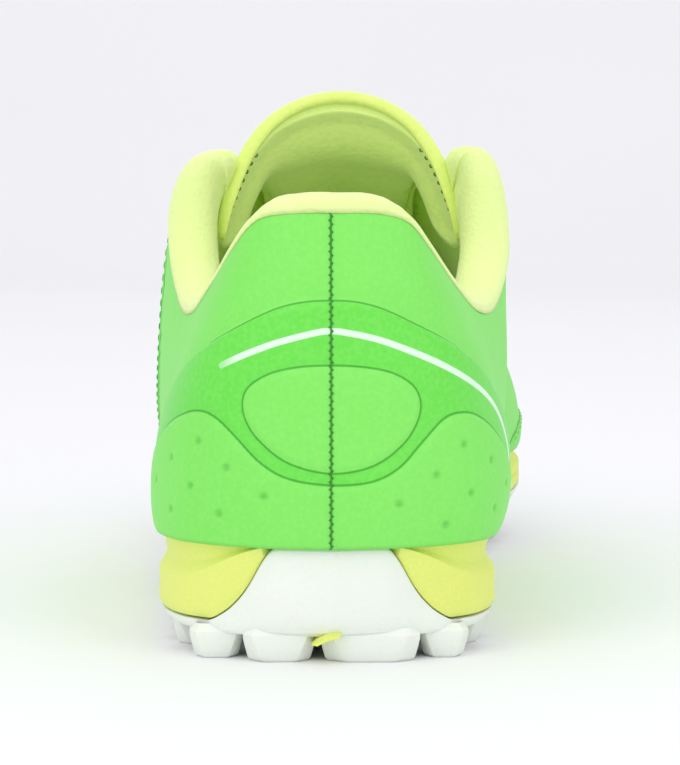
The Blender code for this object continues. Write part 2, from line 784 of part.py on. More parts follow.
def pad_fullness(u):
    """The pad's thickness as a share: full round the ankle and thin at the throat."""
    return 1 - 0.66 * ease(u, 8.8, CORNER)


def pad_roll(u):
    """How far the pad stands above the upper's edge, most at the front corners of the collar."""
    return PAD_ROLL + (PAD_CORNER_ROLL - PAD_ROLL) * ease(u, 6.6, 8.4) * (1 - 0.55 * ease(u, 9.4, CORNER))


def pad_loop(u, side):
    """The pad's section at place u. Its outer face follows the wall's inner face."""
    thick, depth = PAD_THICKNESS * pad_fullness(u), min(PAD_DEPTH / wall_length(u, side), 0.75)
    face = -(UPPER_WALL + 1.5 * GAP)
    loop = []
    for p in PAD_LOOP:
        if p.down == 0.0 and p.over > 0.0:
            lean_in = 0.11 * p.over * (pad_roll(u) - PAD_ROLL)
            inside = -p.inside * (thick + UPPER_WALL) - lean_in
            loop.append(off_upper(u, 1.0, side, inside, GAP + p.over * pad_roll(u)))
        elif p.inside > 0.5:
            loop.append(off_upper(u, 1 - p.down * depth, side, face - (p.inside - 0.3) * thick))
        else:
            loop.append(off_upper(u, 1 - p.down * depth, side, face))
    for down in (0.55, 0.0):
        loop.append(off_upper(u, 1 - down * depth, side, face, GAP if down == 0.0 else 0.0))
    return loop


def make_pad(parts, cloth):
    places = edge_places(2, 0.0, CORNER)
    around = [(u, LATERAL) for u in places[::-1]] + [(u, MEDIAL) for u in places[1:]]
    return swept("collar_pad", [pad_loop(u, side) for u, side in around], parts, cloth)


# The tongue's free end, behind the top eyelets. Behind is its distance from the last place under the
# upper, half is half its width and drop is how far its sides hang, as shares of the throat's width. Top
# is its height as a share of the tongue's rise, and blend is how much of the arch has taken over.
TongueEnd = namedtuple("TongueEnd", "behind half drop top blend thickness")
TONGUE_END = [
    TongueEnd(0.14, 0.80, 0.72, 0.36, 0.60, 0.90),
    TongueEnd(0.28, 0.93, 0.86, 0.66, 1.00, 1.00),
    TongueEnd(0.42, 0.97, 0.93, 0.88, 1.00, 1.00),
    TongueEnd(0.54, 0.97, 0.95, 0.99, 1.00, 0.90),
    TongueEnd(0.60, 0.92, 0.92, 0.98, 1.00, 0.55),
]
TONGUE_POINTS = 6
TONGUE_BASE = 10.65


def tongue_section(u):
    """The tongue's outer face across the shoe, under the upper's wall and over the open throat."""
    under = -(UPPER_WALL + 2 * GAP + 3 * GAP * ease(u, 13.5, THROAT_END))
    sides = []
    for side in (LATERAL, MEDIAL):
        reach = (0.0050 + 0.0090 * ease(u, TONGUE_BASE, 12.5)) / wall_length(u, side)
        sides.append([off_upper(u, 1 - reach + reach * k / 3, side, under) for k in range(4)])
    left, right = sides
    crown = []
    for k in range(1, TONGUE_POINTS):
        s = k / TONGUE_POINTS
        flat = left[-1] * (1 - s) + right[-1] * s
        flat[2] += 0.17 * np.linalg.norm(right[-1] - left[-1]) * sin(pi * s)
        crown.append(flat)
    return left + crown + right[::-1]


def tongue_end_section(row, base):
    """A section of the tongue's free end, as an arch over the instep."""
    middle, count = base[len(base) // 2], len(base)
    half, drop = row.half * THROAT_WIDTH, row.drop * THROAT_WIDTH
    made = []
    for k, under in enumerate(base):
        angle = pi * (k / (count - 1) - 0.5)
        x = middle[0] + half * sin(angle)
        z = middle[2] + row.top * TONGUE_RISE - drop * (1 - cos(angle)) - TONGUE_SIDES * abs(sin(angle)) ** 8
        y = middle[1] - row.behind * THROAT_WIDTH - 0.06 * half * (1 - cos(angle))
        arch = np.array([x, y, z])
        start = np.array([under[0], y, under[2]])
        made.append(start * (1 - row.blend) + arch * row.blend)
    return made


def tongue_loop(section_points, along, thickness):
    """A closed loop: the outer face and, a thickness below it, the inner face."""
    under = []
    count = len(section_points)
    for k, p in enumerate(section_points):
        across = section_points[min(k + 1, count - 1)] - section_points[max(k - 1, 0)]
        down = np.cross(across, along)
        down = down / np.linalg.norm(down)
        if down[2] > 0:
            down = -down
        taper = 0.45 + 0.55 * sin(pi * k / (count - 1))
        under.append(p + down * thickness * taper)
    return section_points + under[::-1]


def make_tongue(parts, cloth):
    places = edge_places(1.5, TONGUE_BASE, THROAT_END + 1.1)[::-1]
    sections = [tongue_section(u) for u in places]
    thickness = [0.35 + 0.55 * ease(k, 0, 5) for k in range(len(places))]
    base = sections[-1]
    sections += [tongue_end_section(row, base) for row in TONGUE_END]
    thickness += [row.thickness for row in TONGUE_END]
    loops = []
    for k, (points, share) in enumerate(zip(sections, thickness)):
        before, after = sections[max(k - 1, 0)], sections[min(k + 1, len(sections) - 1)]
        middle = len(points) // 2
        loops.append(tongue_loop(points, after[middle] - before[middle], TONGUE_THICKNESS * share))
    return swept("tongue", loops, parts, cloth)


# Laces


LACE_SECTION = [(0.50, 0.0), (0.34, 0.50), (-0.34, 0.50), (-0.50, 0.0), (-0.34, -0.50), (0.34, -0.50)]


def lace_line(u):
    """Points of one lace bar from eyelet to eyelet over the tongue, each with its way up."""
    lift = EYESTAY_THICKNESS + 3 * GAP + LACE_THICKNESS / 2
    sides = []
    for side in (LATERAL, MEDIAL):
        eyelet = 1 - 0.44 * eyestay_width(u) / wall_length(u, side)
        spots = [(eyelet - 0.2 * (1 - eyelet)), (1 + eyelet) / 2, 1.0]
        sides.append([(off_upper(u, w, side, lift), upper_frame(u, w, side)[0]) for w in spots])
    left, right = sides
    crest = tongue_section(u)[4 + TONGUE_POINTS // 2 - 1]
    middle = (left[-1][0] + right[-1][0]) / 2
    middle[2] = max(middle[2], crest[2] + LACE_THICKNESS / 2 + 3 * GAP)
    up = left[-1][1] + right[-1][1]
    up = up / np.linalg.norm(up)
    over = []
    for point, out in (left[-1], right[-1]):
        quarter = (point + middle) / 2
        quarter[2] = max(quarter[2], middle[2] - (middle[2] - point[2]) * 0.28)
        over.append((quarter, (up + out) / np.linalg.norm(up + out)))
    return left + [over[0], (middle, up), over[1]] + right[::-1]


def make_lace(name, u, parts, cord):
    """One flat lace bar: an oval section carried along its line."""
    line = lace_line(u)
    loops = []
    for k, (point, out) in enumerate(line):
        along = line[min(k + 1, len(line) - 1)][0] - line[max(k - 1, 0)][0]
        wide = np.cross(out, along)
        wide = wide / np.linalg.norm(wide)
        up = np.cross(along, wide)
        up = up / np.linalg.norm(up)
        loop = []
        for a, b in LACE_SECTION:
            loop.append(point + wide * a * LACE_WIDTH + up * b * LACE_THICKNESS)
        loops.append(loop)
    return swept(name, loops, parts, cord)


def make_laces(parts, cord):
    places = sorted({round(u, 6) for u, _, _ in eyelet_places()})
    for k, u in enumerate(places):
        make_lace(f"lace_bar_{k + 1}", u, parts, cord)


def centre_on_floor(parts):
    """Moves everything so that the origin is under the middle of the shoe, on the floor."""
    bpy.context.view_layer.update()
    graph = bpy.context.evaluated_depsgraph_get()
    corners = np.array(
        [
            made.evaluated_get(graph).matrix_world @ Vector(corner)
            for made in parts.objects
            for corner in made.evaluated_get(graph).bound_box
        ]
    )
    low, high = corners.min(0), corners.max(0)
    shift = Vector((-(low[0] + high[0]) / 2, -(low[1] + high[1]) / 2, -low[2]))
    for made in bpy.data.objects:
        made.matrix_world = Matrix.Translation(shift) @ made.matrix_world


def main():
    for old in list(bpy.data.objects):
        bpy.data.objects.remove(old)
    parts, tools = collection("turf_shoe"), collection("cutters")
    rubber = material("white_rubber", (0.86, 0.88, 0.86), 0.55)
    foam = material("lime_foam", (0.70, 0.80, 0.12), 0.60)
    skin = material("green_synthetic", (0.14, 0.78, 0.10), 0.45)
    yellow = material("yellow_synthetic", (0.72, 0.92, 0.08), 0.50)
    cloth = material("yellow_cloth", (0.72, 0.92, 0.30), 0.85)
    cord = material("yellow_cord", (0.76, 0.93, 0.14), 0.80)
    eyelets = {"eyelets": make_eyelet_cutters(tools)}
    make_outsole(parts, tools, rubber)
    make_midsole(parts, tools, foam)
    make_insole(parts, cloth)
    make_upper(parts, eyelets, skin)
    make_counter(parts, skin)
    make_eyestay(parts, eyelets, yellow)
    make_pad(parts, cloth)
    make_tongue(parts, cloth)
    make_laces(parts, cord)
    centre_on_floor(parts)


main()
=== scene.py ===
"""The looks of a left turf shoe: skins, stitches, padding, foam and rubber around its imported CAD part."""

from collections import namedtuple
from math import atan2, cos, pi, radians, sin, sqrt

import bmesh
import bpy
import numpy as np
from mathutils import Matrix, Vector


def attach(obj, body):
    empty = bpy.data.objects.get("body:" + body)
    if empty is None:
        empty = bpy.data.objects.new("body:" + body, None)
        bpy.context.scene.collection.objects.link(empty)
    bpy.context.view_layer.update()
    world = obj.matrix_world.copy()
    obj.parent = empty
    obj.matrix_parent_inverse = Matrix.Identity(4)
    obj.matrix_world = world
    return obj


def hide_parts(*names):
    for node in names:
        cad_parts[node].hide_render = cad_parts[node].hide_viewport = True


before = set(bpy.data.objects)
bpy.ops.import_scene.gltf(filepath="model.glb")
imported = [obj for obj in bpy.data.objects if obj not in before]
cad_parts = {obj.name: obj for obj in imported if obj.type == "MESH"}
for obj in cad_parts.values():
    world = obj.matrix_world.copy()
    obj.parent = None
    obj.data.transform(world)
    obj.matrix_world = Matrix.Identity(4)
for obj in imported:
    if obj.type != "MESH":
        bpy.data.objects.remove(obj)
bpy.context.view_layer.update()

# The shoe's own axes start at the back of its heel. Everything moves by this into the part's frame.
SHIFT = np.array([-0.00686, -0.1435891, 0.0])

# Overall sizes of the sole, in metres
LENGTH = 0.290
HEEL_WIDTH = 0.074
WAIST_WIDTH = 0.069
BALL_WIDTH = 0.098
HEEL_STACK = 0.0247
WAIST_STACK = 0.0236
BALL_STACK = 0.0250
TOE_STACK = 0.0170
TOE_SPRING = 0.0130

# Upper: heights of its edge above the sole, widths of its collar and throat, and its wall
BACK_RISE = 0.0693
DIP_RISE = 0.0470
INSTEP_RISE = 0.0830
VAMP_RISE = 0.0400
TOE_RISE = 0.0238
COLLAR_WIDTH = 0.074
THROAT_WIDTH = 0.027
UPPER_WALL = 0.0022
UPPER_INSET = 0.0012

# Pieces on and in the upper
EYESTAY_THICKNESS = 0.0011
EYESTAY_WIDTH = 0.0150
PAD_THICKNESS = 0.0062
PAD_ROLL = 0.0048
PAD_CORNER_ROLL = 0.0150
PAD_DEPTH = 0.0320
TONGUE_THICKNESS = 0.0052
TONGUE_RISE = 0.0125
TONGUE_SIDES = 0.0095
TONGUE_FLARE = 0.15
EYELET_ROWS = 6
LACE_WIDTH = 0.0062
LACE_THICKNESS = 0.0014

# Sole: its rubber plate, cup wall, lugs and the window in the heel
LUG_HEIGHT = 0.0056
LUG_DRAFT = 0.0012
PLATE_THICKNESS = 0.0021
CUP_WALL = 0.0030
SIDE_WRAP = 0.0078
BALL_TUCK = 0.0046
BALL_WRAP = 0.0160
EDGE_ROUND = 0.0022
WINDOW_WIDTH = 0.0095
WINDOW_LENGTH = 0.0660
WINDOW_START = 0.0165
HEEL_DROP = 0.0010

GAP = 0.0003

# One row for each profile of the shoe, from the middle of the heel round one side to the toe. The first
# three columns place the sole's edge. The next four place the upper's edge, or the ridge where it is
# closed, with its rise above the sole. Swell is how far the wall stands out between the two, and arch is
# how far it bends over: 0 is a straight wall and 1 is a quarter of an ellipse.
Section = namedtuple(
    "Section",
    "along lateral medial top_along top_middle top_half rise swell_lateral swell_medial arch",
)


def section(along, lateral, medial, top_along, top_middle, top_half, rise, swell_lateral, swell_medial, arch):
    """A row of the table, with its places along the shoe and its middle as shares."""
    return Section(
        along * LENGTH,
        lateral,
        medial,
        top_along * LENGTH,
        top_middle * BALL_WIDTH,
        top_half,
        rise,
        swell_lateral * HEEL_WIDTH,
        swell_medial * HEEL_WIDTH,
        arch,
    )


H, W, B, C, T = HEEL_WIDTH, WAIST_WIDTH, BALL_WIDTH, COLLAR_WIDTH, THROAT_WIDTH
SECTIONS = [
    # along, lateral, medial, top along, top middle, top half, rise, swell lateral, swell medial, arch
    section(0.000, 0.000 * H, 0.000 * H, 0.012, 0.000, 0.000 * C, 1.000 * BACK_RISE, 0.030, 0.030, 0.10),
    section(0.008, 0.180 * H, 0.180 * H, 0.015, 0.000, 0.115 * C, 1.000 * BACK_RISE, 0.030, 0.032, 0.10),
    section(0.030, 0.340 * H, 0.340 * H, 0.026, 0.001, 0.210 * C, 0.975 * BACK_RISE, 0.030, 0.038, 0.12),
    section(0.065, 0.448 * H, 0.445 * H, 0.050, 0.003, 0.281 * C, 0.885 * BACK_RISE, 0.032, 0.048, 0.15),
    section(0.120, 0.502 * H, 0.492 * H, 0.093, 0.008, 0.355 * C, 0.765 * BACK_RISE, 0.036, 0.062, 0.18),
    section(0.200, 0.498 * H, 0.466 * H, 0.162, 0.017, 0.427 * C, 0.990 * DIP_RISE, 0.042, 0.084, 0.22),
    section(0.276, 0.533 * W, 0.462 * W, 0.234, 0.026, 0.482 * C, 1.000 * DIP_RISE, 0.044, 0.108, 0.26),
    section(0.345, 0.533 * W, 0.446 * W, 0.290, 0.031, 0.526 * C, 0.680 * INSTEP_RISE, 0.044, 0.122, 0.32),
    section(0.400, 0.545 * W, 0.446 * W, 0.326, 0.027, 0.528 * C, 0.810 * INSTEP_RISE, 0.042, 0.120, 0.40),
    section(0.445, 0.570 * W, 0.472 * W, 0.350, 0.029, 0.490 * C, 0.890 * INSTEP_RISE, 0.040, 0.110, 0.48),
    section(0.486, 0.405 * B, 0.352 * B, 0.369, 0.033, 1.040 * T, 0.935 * INSTEP_RISE, 0.040, 0.098, 0.54),
    section(0.531, 0.404 * B, 0.394 * B, 0.396, 0.039, 0.700 * T, 0.950 * INSTEP_RISE, 0.038, 0.088, 0.58),
    section(0.579, 0.412 * B, 0.444 * B, 0.441, 0.043, 0.520 * T, 0.880 * INSTEP_RISE, 0.036, 0.076, 0.62),
    section(0.634, 0.416 * B, 0.500 * B, 0.503, 0.046, 0.470 * T, 0.760 * INSTEP_RISE, 0.032, 0.060, 0.68),
    section(0.693, 0.413 * B, 0.546 * B, 0.566, 0.050, 0.440 * T, 0.645 * INSTEP_RISE, 0.028, 0.042, 0.76),
    section(0.752, 0.400 * B, 0.556 * B, 0.624, 0.054, 0.330 * T, 0.540 * INSTEP_RISE, 0.024, 0.028, 0.84),
    section(0.807, 0.380 * B, 0.532 * B, 0.660, 0.058, 0.000 * T, 0.990 * VAMP_RISE, 0.018, 0.020, 0.92),
    section(0.859, 0.360 * B, 0.476 * B, 0.710, 0.064, 0.000 * T, 0.850 * VAMP_RISE, 0.016, 0.016, 0.98),
    section(0.903, 0.309 * B, 0.428 * B, 0.762, 0.069, 0.000 * T, 0.740 * VAMP_RISE, 0.016, 0.016, 1.00),
    section(0.941, 0.240 * B, 0.367 * B, 0.808, 0.073, 0.000 * T, 1.115 * TOE_RISE, 0.016, 0.016, 1.00),
    section(0.972, 0.150 * B, 0.296 * B, 0.846, 0.075, 0.000 * T, 1.055 * TOE_RISE, 0.016, 0.016, 1.00),
    section(0.993, 0.040 * B, 0.197 * B, 0.874, 0.077, 0.000 * T, 1.017 * TOE_RISE, 0.016, 0.016, 1.00),
    section(1.000, -0.078 * B, 0.078 * B, 0.884, 0.078, 0.000 * T, 1.000 * TOE_RISE, 0.016, 0.016, 1.00),
]
LAST = len(SECTIONS) - 1
CORNER = 10.0
THROAT_END = 16
STAY_START, STAY_END = 10.5, 17.1
LATERAL, MEDIAL = -1, 1


# Curves and sizes that the pieces share


def spline(rows, u):
    """The rows' columns at place u, on a smooth curve through all the rows."""
    u = min(max(u, 0.0), len(rows) - 1.0)
    k = min(int(u), len(rows) - 2)
    s = u - k
    a, b, c, d = (np.array(rows[min(max(k + j, 0), len(rows) - 1)], float) for j in (-1, 0, 1, 2))
    if k == 0:
        a = 2 * b - c
    if k == len(rows) - 2:
        d = 2 * c - b
    return b + 0.5 * s * (c - a + s * (2 * a - 5 * b + 4 * c - d + s * (3 * (b - c) + d - a)))


def at(u):
    """The section at place u of the table, which may lie between two rows."""
    return Section(*spline(SECTIONS, u))


def ease(x, low, high):
    """0 below low and 1 above high, with a smooth rise between them."""
    s = min(max((x - low) / (high - low), 0.0), 1.0)
    return s * s * (3 - 2 * s)


def spring(y):
    """How far the sole's bottom has left the floor, towards the toe."""
    return TOE_SPRING * max(0.0, (y / LENGTH - 0.72) / 0.28) ** 1.8


def bite(y):
    """The height of the line where the sole meets the upper."""
    share = y / LENGTH
    waist = HEEL_STACK + (WAIST_STACK - HEEL_STACK) * ease(share, 0.05, 0.45)
    ball = waist + (BALL_STACK - WAIST_STACK) * ease(share, 0.45, 0.72)
    return spring(y) + ball + (TOE_STACK - BALL_STACK) * ease(share, 0.72, 1.0)


# Height of the yellow midsole's lower edge: from the heel's middle out, along the edge by place u
Wrap = namedtuple("Wrap", "place share_of_stack side_share ball_share")
WRAPS = [
    Wrap(0.0, 1.0, 0.0, 0.0),
    Wrap(1.0, 1.0, 0.0, 0.0),
    Wrap(1.5, 0.45, 0.45, 0.0),
    Wrap(2.0, 0.12, 0.86, 0.0),
    Wrap(2.6, 0.0, 1.0, 0.0),
    Wrap(8.0, 0.0, 1.0, 0.0),
    Wrap(11.0, 0.0, 0.62, 0.38),
    Wrap(14.5, 0.0, 0.0, 1.0),
    Wrap(18.0, 0.45, 0.0, 0.55),
    Wrap(20.5, 1.0, 0.0, 0.0),
    Wrap(22.0, 1.0, 0.0, 0.0),
]


def wrap(u, y):
    """The height to which the rubber outsole wraps up the side at place u of the edge, as a smooth line."""
    places = [row.place for row in WRAPS]
    near = u + min(0.32, 0.15 * u) * np.linspace(-1, 1, 9)
    full = np.interp(near, places, [row.share_of_stack for row in WRAPS]).mean()
    side = np.interp(near, places, [row.side_share for row in WRAPS]).mean()
    ball = np.interp(near, places, [row.ball_share for row in WRAPS]).mean()
    return spring(y) + full * (bite(y) - spring(y)) + side * SIDE_WRAP + ball * BALL_WRAP


def edge(u, side):
    """The point of the sole's outline at place u of one side, in plan."""
    row = at(u)
    return np.array([-row.lateral if side == LATERAL else row.medial, row.along])


def outward(u, side):
    """The direction out of the shoe at the sole's edge, in plan."""
    step = 0.02
    if u < step:
        return np.array([0.0, -1.0])
    if u > LAST - step:
        return np.array([0.0, 1.0])
    d = edge(u + step, side) - edge(u - step, side)
    n = np.array([d[1], -d[0]]) * side
    return n / np.linalg.norm(n)


def upper_foot(u, side):
    """Where the upper's outer face stands on the sole."""
    x, y = edge(u, side) - outward(u, side) * UPPER_INSET
    return np.array([x, y, bite(y) + GAP])


def upper_top(u, side):
    """The upper's edge at place u, or its ridge where it is closed."""
    row = at(u)
    half = max(row.top_half, 0.0) if u < THROAT_END else 0.0
    return np.array([row.top_middle + side * half, row.top_along, bite(row.along) + row.rise])


def upper_point(u, w, side):
    """A point of the upper's outer face: w is 0 at the sole and 1 at the upper's edge."""
    row, foot, top = at(u), upper_foot(u, side), upper_top(u, side)
    across = (1 - row.arch) * w + row.arch * (1 - cos(w * pi / 2))
    up = (1 - row.arch) * w + row.arch * sin(w * pi / 2)
    swell = row.swell_lateral if side == LATERAL else row.swell_medial
    bulge = swell * sin(pi * min(max(up, 0.0), 1.0) ** 0.7)
    out = outward(u, side)
    plan = foot[:2] + (top[:2] - foot[:2]) * across + out * bulge
    return np.array([plan[0], plan[1], foot[2] + (top[2] - foot[2]) * up])


def upper_frame(u, w, side):
    """Unit vectors at a point of the upper: out of the shoe, and up along the wall."""
    step = 0.02
    lower, higher = upper_point(u, max(w - step, 0.0), side), upper_point(u, min(w + step, 1.0), side)
    before, after = upper_point(max(u - step, 0.0), w, side), upper_point(min(u + step, LAST), w, side)
    up = (higher - lower) / np.linalg.norm(higher - lower)
    round_it = after - before
    if u < step:
        round_it = np.array([side, 0.0, 0.0])
    if u > LAST - step:
        round_it = np.array([-side, 0.0, 0.0])
    out = np.cross(round_it, up) * side
    return out / np.linalg.norm(out), up


def off_upper(u, w, side, distance, rise=0.0):
    """A point at a distance out of the upper's outer face, and a rise along the wall."""
    out, up = upper_frame(u, w, side)
    return upper_point(u, w, side) + out * distance + up * rise


def wall_length(u, side):
    """The length of the upper's wall from the sole to its edge."""
    points = [upper_point(u, k / 12, side) for k in range(13)]
    return sum(np.linalg.norm(b - a) for a, b in zip(points, points[1:]))


# The upper's wall as dense grids


def around(dense, middle, front):
    """Places along one side, from the heel's middle to the toe's tip, closest together at the heel."""
    places = list(np.linspace(0.0, 7.0, dense, endpoint=False))
    places += list(np.linspace(7.0, 16.0, middle, endpoint=False))
    places += list(np.linspace(16.0, float(LAST), front))
    return places


def wall(places, shares, side):
    """Points of the upper's outer face on one side, as an array of place by share of height."""
    rows = [at(u) for u in places]
    foot = np.array([upper_foot(u, side) for u in places])
    top = np.array([upper_top(u, side) for u in places])
    out = np.array([outward(u, side) for u in places])
    arch = np.array([row.arch for row in rows])[:, None]
    swell = np.array([row.swell_lateral if side == LATERAL else row.swell_medial for row in rows])[:, None]
    w = np.array(shares, float)[None, :]
    across = (1 - arch) * w + arch * (1 - np.cos(w * pi / 2))
    up = (1 - arch) * w + arch * np.sin(w * pi / 2)
    bulge = swell * np.sin(pi * np.clip(up, 0, 1) ** 0.7)
    points = np.empty((len(places), w.shape[1], 3))
    for k in range(2):
        points[..., k] = foot[:, None, k] + (top - foot)[:, None, k] * across + out[:, None, k] * bulge
    points[..., 2] = foot[:, None, 2] + (top - foot)[:, None, 2] * up
    return points


def full_wall(places, shares):
    """The wall all round: from the toe's tip along the lateral side, round the heel and back."""
    lateral, medial = wall(places, shares, LATERAL), wall(places, shares, MEDIAL)
    return soften_toe(np.concatenate([lateral[::-1], medial[1:]]))


def soften_toe(grid, reach=16, passes=60):
    """Rounds the corner where the two sides meet at the tip of the toe: the first and last rows."""
    near = np.concatenate([grid[-reach:-1], grid[:reach]])
    for _ in range(passes):
        near[1:-1] = near[1:-1] * 0.5 + (near[:-2] + near[2:]) * 0.25
    grid[-reach:-1] = near[: reach - 1]
    grid[:reach] = near[reach - 1 :]
    grid[-1] = grid[0]
    return grid


def normals_of(points):
    """Unit normals of a grid of points, out of the shoe for full_wall's order."""
    out = np.cross(np.gradient(points, axis=0), np.gradient(points, axis=1))
    return out / np.maximum(np.linalg.norm(out, axis=2, keepdims=True), 1e-12)


def arc_lengths(points):
    """Signed distance round the wall from the heel's middle, at each height: lateral is negative."""
    steps = np.linalg.norm(np.diff(points, axis=0), axis=2)
    total = np.concatenate([np.zeros((1, points.shape[1])), np.cumsum(steps, axis=0)])
    return total - total[len(points) // 2]


# Meshes


def smooth_curve(rows, step=1.0, closed=False):
    """The rows' points joined by a smooth curve and cut into short even steps."""
    rows = [tuple(row) for row in rows]
    if closed:
        rows = rows[-2:] + rows + rows[:3]
        first, last = 2.0, len(rows) - 3.0
    else:
        first, last = 0.0, len(rows) - 1.0
    fine = np.array([spline(rows, first + (last - first) * k / 600) for k in range(601)])
    lengths = walked_along(fine)
    count = max(int(lengths[-1] / step), 2)
    places = np.linspace(0, lengths[-1], count + 1)
    return sampled(places, lengths, fine)


def walked_along(line):
    """The distance from a line's first point to each of its points."""
    return np.concatenate([[0], np.cumsum(np.linalg.norm(np.diff(line, axis=0), axis=1))])


def sampled(places, walked, line):
    """The line's columns at distances along it."""
    return np.stack([np.interp(places, walked, column) for column in np.asarray(line).T], axis=1)


def unit(vectors):
    return vectors / np.linalg.norm(vectors, axis=1, keepdims=True)


def distance_to(line, flat):
    """The distance of each 2-D point to a line of points, and how far along the line it is nearest."""
    a, b = line[:-1], line[1:]
    best = np.full(len(flat), 1e9)
    along = np.zeros(len(flat))
    walked = 0.0
    for start, end in zip(a, b):
        d = end - start
        length = float(np.linalg.norm(d)) or 1e-9
        t = np.clip(((flat - start) @ d) / length**2, 0, 1)
        gap = np.linalg.norm(flat - start - t[:, None] * d, axis=1)
        closer = gap < best
        best[closer] = gap[closer]
        along[closer] = walked + t[closer] * length
        walked += length
    return best, along


def inside_loop(loop, flat):
    """Which 2-D points lie inside a closed line."""
    within = np.zeros(len(flat), bool)
    x, y = flat[:, 0], flat[:, 1]
    for (ax, ay), (bx, by) in zip(loop, np.roll(loop, -1, axis=0)):
        if ay == by:
            continue
        crosses = (ay > y) != (by > y)
        within ^= crosses & (x < (bx - ax) * (y - ay) / (by - ay) + ax)
    return within


def rise(x, low, high):
    """0 below low and 1 above high, with a smooth rise between them, for arrays."""
    s = np.clip((np.asarray(x, float) - low) / (high - low), 0.0, 1.0)
    return s * s * (3 - 2 * s)


def grid_faces(rows, columns, closed_rows=False, closed_columns=False, start=0):
    """Quads between the points of a grid that is stored row by row."""
    faces = []
    for i in range(rows if closed_rows else rows - 1):
        for j in range(columns if closed_columns else columns - 1):
            a = start + i * columns + j
            b = start + i * columns + (j + 1) % columns
            c = start + ((i + 1) % rows) * columns + (j + 1) % columns
            d = start + ((i + 1) % rows) * columns + j
            faces.append((a, b, c, d))
    return faces


def mesh_piece(name, points, faces, finish, values=None, sharp=None, merge=0.0):
    """A named piece from points in the shoe's own axes, with one number per point for each named value."""
    data = bpy.data.meshes.new(name)
    placed = np.asarray(points, float) + SHIFT
    data.from_pydata([tuple(p) for p in placed], [], [tuple(f) for f in faces])
    for key, numbers in (values or {}).items():
        held = data.attributes.new(key, "FLOAT", "POINT")
        held.data.foreach_set("value", np.asarray(numbers, np.float32))
    data.validate()
    if merge:
        change = bmesh.new()
        change.from_mesh(data)
        bmesh.ops.remove_doubles(change, verts=change.verts, dist=merge)
        change.to_mesh(data)
        change.free()
    piece = bpy.data.objects.new(name, data)
    bpy.context.scene.collection.objects.link(piece)
    data.materials.append(finish)
    data.shade_smooth()
    if sharp:
        data.set_sharp_from_angle(angle=sharp)
    return piece


def grid_piece(name, grid, finish, closed_rows=False, closed_columns=False, values=None, ends=False, **more):
    """A piece from an array of points, row by row, with flat ends if asked."""
    rows, columns = grid.shape[:2]
    faces = grid_faces(rows, columns, closed_rows, closed_columns)
    if ends:
        faces.append(tuple(range(columns))[::-1])
        faces.append(tuple(range((rows - 1) * columns, rows * columns)))
    return mesh_piece(name, grid.reshape(-1, 3), faces, finish, values, **more)


def face_out(piece):
    """Turns a closed piece's faces out."""
    change = bmesh.new()
    change.from_mesh(piece.data)
    bmesh.ops.recalc_face_normals(change, faces=change.faces)
    if change.calc_volume(signed=True) < 0:
        bmesh.ops.reverse_faces(change, faces=change.faces)
    change.to_mesh(piece.data)
    change.free()
    return piece


def tube(points, radius, sides=6, across=None):
    """Points and faces of a thin closed tube along a line of points."""
    points = np.asarray(points, float)
    tangents = np.gradient(points, axis=0)
    tangents /= np.maximum(np.linalg.norm(tangents, axis=1, keepdims=True), 1e-12)
    guide = np.array([0.0, 0.0, 1.0]) if across is None else np.asarray(across, float)
    rings = []
    count = len(points)
    for k, (p, t) in enumerate(zip(points, tangents)):
        a = np.cross(t, guide)
        if np.linalg.norm(a) < 1e-6:
            a = np.cross(t, np.array([1.0, 0.0, 0.0]))
        a /= np.linalg.norm(a)
        b = np.cross(t, a)
        thin = 0.55 if k in (0, count - 1) else 1.0
        turns = [2 * pi * j / sides for j in range(sides)]
        rings.append([p + radius * thin * (cos(turn) * a + sin(turn) * b) for turn in turns])
    faces = grid_faces(count, sides, closed_columns=True)
    faces.append(tuple(range(sides))[::-1])
    faces.append(tuple(range((count - 1) * sides, count * sides)))
    return [p for ring in rings for p in ring], faces


def gather(bits):
    """Many small meshes as one list of points and faces."""
    points, faces = [], []
    for some, these in bits:
        start = len(points)
        points += list(some)
        faces += [tuple(start + k for k in face) for face in these]
    return points, faces


def stitches(line, normals, length=0.0024, gap=0.0011, radius=0.00024, lift=0.00012):
    """A row of thread stitches along a line of points: each dips into the cloth at its two ends."""
    line, normals = np.asarray(line, float), np.asarray(normals, float)
    walked = walked_along(line)
    bits = []
    start = gap / 2
    while start + length < walked[-1]:
        places = start + length * np.array([0.0, 0.12, 0.35, 0.65, 0.88, 1.0])
        heights = lift + radius * np.array([-1.5, 0.1, 0.7, 0.7, 0.1, -1.5])
        p, n = sampled(places, walked, line), unit(sampled(places, walked, normals))
        bits.append(tube(p + n * heights[:, None], radius, 6, n[2]))
        start += length + gap
    return bits


# Materials


def srgb(text):
    """A colour from its six hex digits, as the shader's linear numbers."""
    channels = [int(text[k : k + 2], 16) / 255 for k in (0, 2, 4)]
    return tuple(c / 12.92 if c <= 0.04045 else ((c + 0.055) / 1.055) ** 2.4 for c in channels) + (1.0,)


